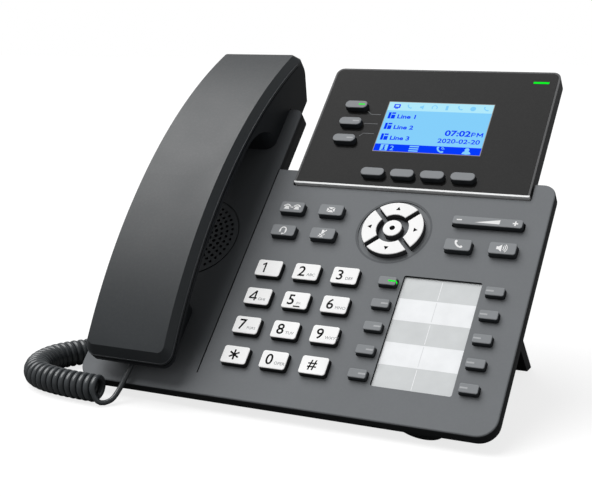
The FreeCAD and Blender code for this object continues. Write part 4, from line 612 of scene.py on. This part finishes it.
row_y = 169.1
row_pitch = 7.17
bold = 0.03
for row in range(3):
    y = row_y - row_pitch * row
    draw([box_points(9.6, y + 2.1, 1.4, 4.2), box_points(11.7, y + 3.7, 2.1, 1.0)], ink_blue)
    draw([box_points(11.7, y + 1.3, 2.1, 2.6)], ink_blue)
    write(picture, f"Line {row + 1}", 14.1, y + 0.2, 2.75, paper_top, ink_top, ink_blue, bold, 1.2)
write(picture, "07:02", 42.1, 159.0, 3.8, paper_top, ink_top, ink_blue, bold, 1.22)
half_day_y = 159.15
half_day_top = half_day_y + 2.7
stroke = 0.58
bowl_radius = 0.85
draw([line_points(56.1, half_day_y, 56.1, half_day_top, stroke)], ink_blue)
draw([box_points(56.6, half_day_top - drop, 1.0, stroke) for drop in (0.21, 1.49)], ink_blue)
draw([ring_points(57.1, half_day_top - bowl_radius, 0.43, bowl_radius, -90, 90)], ink_blue)
draw([line_points(x, half_day_y, x, half_day_top, stroke) for x in (58.9, 61.5)], ink_blue)
draw([line_points(x, half_day_top - 0.1, 60.2, half_day_y + 0.8, stroke) for x in (58.9, 61.5)], ink_blue)
write(picture, "2020-02-20", 39.5, 154.4, 2.85, paper_top, ink_top, ink_blue, 0.018, 1.22)
status_y = 177.4
draw([box_points(12.1, status_y + 0.3, 3.5, 2.5), box_points(12.1, status_y - 1.3, 1.7, 0.5)], ink_blue)
draw([box_points(12.1, status_y + 0.4, 2.0, 1.1)], status_blue, 0.01)
for x in (18.7, 45.8, 59.3):
    draw(handset_sign(x, status_y, 0.8), body_blue)
draw([ring_points(32.4, status_y, 1.1, 1.6, -40, 220), box_points(39.0, status_y, 1.3, 3.0)], body_blue)
draw([disc_points(52.7, status_y, 1.5)], body_blue)
horn = [(24.6, -0.6), (25.4, -0.6), (26.5, -1.6), (26.5, 1.6), (25.4, 0.6), (24.6, 0.6)]
draw([[(x, status_y + y) for x, y in horn]], body_blue)
soft_y = 149.85
draw([box_points(12.6, soft_y, 4.0, 4.0)], body_blue)
draw([box_points(12.6, soft_y - 0.3, 0.9, 2.0), box_points(12.6, soft_y + 1.3, 0.9, 0.7)], ink_blue, 0.01)
draw([box_points(12.6, soft_y - 1.4, 2.0, 0.5)], ink_blue, 0.012)
write(picture, "2", 15.9, soft_y - 1.6, 2.9, paper_top, ink_top, body_blue, 0.0, 1.1)
draw([box_points(28.5, soft_y + 1.4 - 1.4 * row, 4.9, 0.75) for row in range(3)], body_blue)
draw(handset_sign(42.0, soft_y - 0.1, 1.15), body_blue)
draw([ring_points(42.6, soft_y + 0.3, inner, inner + 0.3, 0, 90) for inner in (0.7, 1.5)], body_blue)
draw([disc_points(56.0, soft_y + 0.85, 1.2), ring_points(56.0, soft_y - 2.1, 0.0, 2.3, 8, 172)], body_blue)
panel_piece("lcd_picture", picture, [
    glow("picture_body", "87D3FF"), glow("picture_status", "B4EDFF"), glow("picture_ink", "003CFF"),
    glow("picture_edge", "9A9894"),
], "base")

print_pale = moulded("print_pale", "B4B6B8", "B4B6B8", 0.7, gloss=0.05, grain=1500, dust=0)
print_dim = moulded("print_dim", "7C7E80", "7C7E80", 0.7, gloss=0.05, grain=1500, dust=0)
signal_green = glow("signal_green", "00FF28")
leader_width = 0.3
marks = bmesh.new()
for points in (
    [(-3.1, 173.5), (-0.5, 171.4), (4.8, 171.4)], [(-2.7, 165.1), (4.8, 165.1)],
    [(-2.9, 156.7), (-1.1, 158.5), (4.7, 158.5)],
):
    for start, end in zip(points, points[1:]):
        raise_shape(marks, line_points(*start, *end, leader_width), face_z, face_z + 0.012, 0)
raise_shape(marks, box_points(83.55, 196.05, 7.9, 1.2), face_z, face_z + 0.05, 1)
panel_piece("display_marks", marks, [print_dim, signal_green], "base")

# Keys: moulded caps on the rubber mat, each one pressed straight into the panel. Those of the dial and the
# ring are black with a white painted top; the others are grey with dark sides. Signs are printed on top.
white_key = moulded("key_white", "FEFEFE", "2C2D2E", 0.45, gloss=0.12, dust=0)
ring_key = moulded("key_ring", "FEFEFE", "4A4B4D", 0.45, gloss=0.12, dust=0)
grey_key = moulded("key_grey", "888B8E", "3A3D40", 0.5, gloss=0.12, dust=0.02)
print_black = moulded("print_black", "060607", "060607", 0.7, gloss=0.05, grain=1500, dust=0)
print_grey = moulded("print_grey", "8C8E90", "8C8E90", 0.7, gloss=0.05, grain=1500, dust=0)
print_white = moulded("print_white", "F2F2F2", "F2F2F2", 0.7, gloss=0.05, grain=1500, dust=0)
ink = 0.03

dial_letters = {
    "1": "", "2": "ABC", "3": "DEF", "4": "GHI", "5": "JKL", "6": "MNO", "7": "PQRS", "8": "TUV", "9": "WXYZ",
    "star": "", "0": "OPER", "hash": ""}
drawn_digits = {
    "1": [(-2.0, -2.7, -2.0, 2.9), (-1.9, 2.6, -3.5, 1.6)],
    "4": [(-1.2, -2.7, -1.2, 2.9), (-1.3, 2.6, -4.1, -1.2), (-4.3, -1.3, -0.2, -1.3)]}
dial_x = -23.7
dial_y = 70.5
dial_across = 20.0
dial_down = 16.36
dial_top = 2.8
for i, digit in enumerate(dial_letters):
    name = f"key_{digit}"
    dress(name, white_key)
    x = dial_x + dial_across * (i % 3)
    y = dial_y - dial_down * (i // 3)
    sign = bmesh.new()
    if digit == "star":
        for angle in (30, 90, 150):
            a = math.radians(angle)
            arm = Vector((math.cos(a), math.sin(a))) * 2.7
            star_arm = line_points(x - arm.x - 0.4, y - arm.y, x + arm.x - 0.4, y + arm.y, 0.85)
            raise_shape(sign, star_arm, dial_top, dial_top + ink * angle / 60)
    elif digit == "hash":
        write(sign, "#", x - 2.9, y - 2.6, 5.2, dial_top, dial_top + ink, 0, 0.012)
    elif digit in drawn_digits:
        for k, (start_x, start_y, end_x, end_y) in enumerate(drawn_digits[digit]):
            raise_shape(sign, line_points(
                x + start_x, y + start_y, x + end_x, y + end_y, 0.8), dial_top, dial_top + ink * (1 + k / 10))
    else:
        write(sign, digit, x - 4.0, y - 2.7, 5.6, dial_top, dial_top + ink, 0, 0.012)
    if dial_letters[digit]:
        write(sign, dial_letters[digit], x + 0.7, y - 2.3, 1.5, dial_top, dial_top + ink, 1, 0.0, 1.05)
    if digit == "5":
        raise_shape(sign, box_points(x + 1.4, y - 3.4, 3.2, 0.4), dial_top, dial_top + 0.3)
    panel_piece(f"sign_{digit}", sign, [print_black, print_grey], name)

nav_x = 31.65
nav_y = 99.9
nav_top = 2.6
arrow_reach = 11.65
for name, angle in (("nav_right_key", 0), ("nav_up_key", 90), ("nav_left_key", 180), ("nav_down_key", 270)):
    dress(name, ring_key)
    a = math.radians(angle)
    tip = Vector((math.cos(a), math.sin(a)))
    side = Vector((-tip.y, tip.x))
    middle = Vector((nav_x, nav_y)) + tip * arrow_reach
    foot = middle - tip * 0.9
    arrow = [tuple(middle + tip * 1.1), tuple(foot + side * 1.15), tuple(foot - side * 1.15)]
    sign = bmesh.new()
    raise_shape(sign, arrow, nav_top, nav_top + ink)
    panel_piece(f"arrow_{name[4:-4]}", sign, [print_black], name)
ok_top = 2.8
dress("ok_key", ring_key)
sign = bmesh.new()
raise_shape(sign, disc_points(nav_x, nav_y, 1.35), ok_top, ok_top + ink)
panel_piece("ok_dot", sign, [print_black], "ok_key")

function_top = 3.2


def function_sign(key, outlines):
    """Prints white outlines on a function key's top."""
    dress(key, grey_key)
    sign = bmesh.new()
    for k, outline in enumerate(outlines):
        raise_shape(sign, outline, function_top, function_top + ink * (1 + k / 40))
    panel_piece(f"sign_{key[:-4]}", sign, [print_white], key)


def phone_sign(x, y):
    """Outlines of a small desk telephone."""
    return [
        [(x - 1.5, y - 1.5), (x + 1.5, y - 1.5), (x + 0.8, y + 0.5), (x - 0.8, y + 0.5)],
        ring_points(x, y - 0.3, 1.35, 1.95, 30, 150), box_points(x - 1.5, y + 0.5, 0.8, 0.7),
        box_points(x + 1.5, y + 0.5, 0.8, 0.7)]


transfer_dash = box_points(-23.7, 107.3, 1.4, 0.5)
function_sign("transfer_key", phone_sign(-26.4, 107.5) + phone_sign(-21.0, 107.5) + [transfer_dash])
function_sign("message_key", [
    [(-4.2, 109.0), (-2.55, 107.7), (-0.9, 109.0)], [(-4.6, 108.7), (-4.6, 106.3), (-3.3, 107.5)],
    [(-0.5, 108.7), (-1.8, 107.5), (-0.5, 106.3)],
    [(-4.2, 106.0), (-0.9, 106.0), (-2.0, 107.2), (-3.1, 107.2)]])
function_sign("headset_key", [
    ring_points(-23.7, 93.4, 1.15, 1.8, 0, 180),
    box_points(-25.2, 92.7, 0.9, 1.6), box_points(-22.2, 92.7, 0.9, 1.6),
    ring_points(-23.4, 92.2, 1.0, 1.45, 270, 350), disc_points(-23.6, 91.0, 0.5, 10)])
function_sign("mute_key", [
    box_points(-2.5, 94.0, 1.2, 2.2), ring_points(-2.5, 93.3, 1.25, 1.6, 200, 340),
    box_points(-2.5, 91.4, 0.4, 1.0), box_points(-2.5, 90.9, 1.8, 0.4),
    line_points(-4.3, 91.2, -0.7, 95.2, 0.45)])
function_sign("send_key", handset_sign(65.9, 93.2, 1.25))
function_sign("speaker_key", [
    [(84.2, 92.4), (85.2, 92.4), (86.6, 91.2), (86.6, 95.2), (85.2, 94.0), (84.2, 94.0)],
    ring_points(86.4, 93.2, 1.0, 1.35, -48, 48), ring_points(86.4, 93.2, 1.8, 2.15, -48, 48),
    ring_points(86.4, 93.2, 2.6, 2.95, -48, 48)])

rocker_top = 3.0
dress("volume_rocker", grey_key)
sign = bmesh.new()
for outline in (
    box_points(63.1, 107.5, 2.5, 0.65), box_points(89.9, 107.5, 2.6, 0.7),
    [(70.6, 106.6), (82.6, 106.4), (82.6, 108.8)],
):
    raise_shape(sign, outline, rocker_top, rocker_top + ink)
raise_shape(sign, box_points(89.9, 107.5, 0.7, 2.6), rocker_top, rocker_top + ink * 1.1)
panel_piece("sign_volume", sign, [print_white], "volume_rocker")

lamp_width = 3.4
lamp_length = 0.8
lamp_inset = 2.2
left_keys_x = 37.6
right_keys_x = 88.6
speed_y = 70.25
speed_pitch = 12.42
speed_top = 2.6
for i in range(10):
    name = f"speed_dial_key_{i + 1}"
    dress(name, grey_key)
    x = left_keys_x + lamp_inset if i < 5 else right_keys_x - lamp_inset
    y = speed_y - speed_pitch * (i % 5)
    sign = bmesh.new()
    raise_shape(sign, box_points(x, y, lamp_width, lamp_length), speed_top, speed_top + ink)
    if i == 0:
        raise_shape(sign, [(41.9, y - 0.5), (42.0, y - 0.5), (42.0, y + 0.4), (41.9, y + 0.4)], 0.7, 2.45)
    panel_piece(f"lamp_{name[:-4]}_{i + 1}", sign, [signal_green if i == 0 else print_pale], name)

line_lamp_x = -6.3
line_lamp_y = 175.7
line_pitch = 11.4
line_key_top = 4.4
for i in range(3):
    name = f"line_key_{i + 1}"
    dress(name, grey_key)
    sign = bmesh.new()
    line_lamp = box_points(line_lamp_x, line_lamp_y - line_pitch * i, lamp_width, lamp_length)
    raise_shape(sign, line_lamp, line_key_top, line_key_top + ink)
    panel_piece(f"lamp_line_{i + 1}", sign, [signal_green if i == 0 else print_pale], name)
for i in range(4):
    dress(f"soft_key_{i + 1}", grey_key)

# Handset: two moulded shells that meet at a dark seam. A thin lighter bead along the bevel's lower edge is a
# painted highlight. The top one is arched and bevelled, the bottom one has the ear block, hook lip and mouth
# block. Receiver and microphone capsules sit inside.
# The top shell's bevel, which faces away from the panel, is painted darker than its crown: painted shade.
dress("handset_top_shell", moulded("handset_grey", "2F3336", "25292C", 0.45, gloss=0.42))
dress("handset_bottom_shell", moulded("handset_dark", "24272A", "26292C", 0.5, gloss=0.2))
handset_left = -96.25
handset_right = -48.65
handset_start = 6.6
handset_corner = 6.0
crown_radius = 270.0
crown_middle = 100.6
crown_top = 32.8
side_end = 197.0
side_step = 2.4
side_points = 77


def round_handset(depth):
    """Line round the handset's sides and mouth end at a depth under its arched top."""
    front = handset_start + handset_corner
    along = [side_end - side_step * i for i in range(side_points)]
    plan = [(handset_right, y) for y in along]
    for middle, start in ((handset_right - handset_corner, 0), (handset_left + handset_corner, -90)):
        for i in range(10):
            angle = math.radians(start - 10 * i)
            plan.append((middle + handset_corner * math.cos(angle), front + handset_corner * math.sin(angle)))
    plan += [(handset_left, y) for y in reversed(along)]
    rise = crown_top - crown_radius - depth
    line = []
    for x, y in plan:
        arch = math.sqrt(crown_radius ** 2 - (y - crown_middle) ** 2)
        line.append(panel_place @ Vector((x, y, rise + arch)))
    return line


trim_sides = 8
# The bead is a thin lighter tube on the bevel's lower edge, a painted highlight for the lamp's glint there.
for name, depth, thickness, finish in (
    ("handset_bead", 4.3, 0.00025, moulded("bead_highlight_grey", "3E4144", "2C2F32", 0.4, gloss=0.35, dust=0)),
    ("handset_seam", 6.0, 0.0002, moulded("seam_black", "0A0A0B", "0A0A0B", 0.6, gloss=0.1, dust=0)),
):
    line = round_handset(depth)
    trim = bpy.data.objects.new(name, tube_mesh(name, line, thickness, trim_sides, [plain] * len(line)))
    trim.data.materials.append(finish)
    scene.collection.objects.link(trim)
    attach(trim, "handset")
dress("handset_capsules", moulded("capsule_tin", "8F9296", "8F9296", 0.4, gloss=0.5, dust=0))
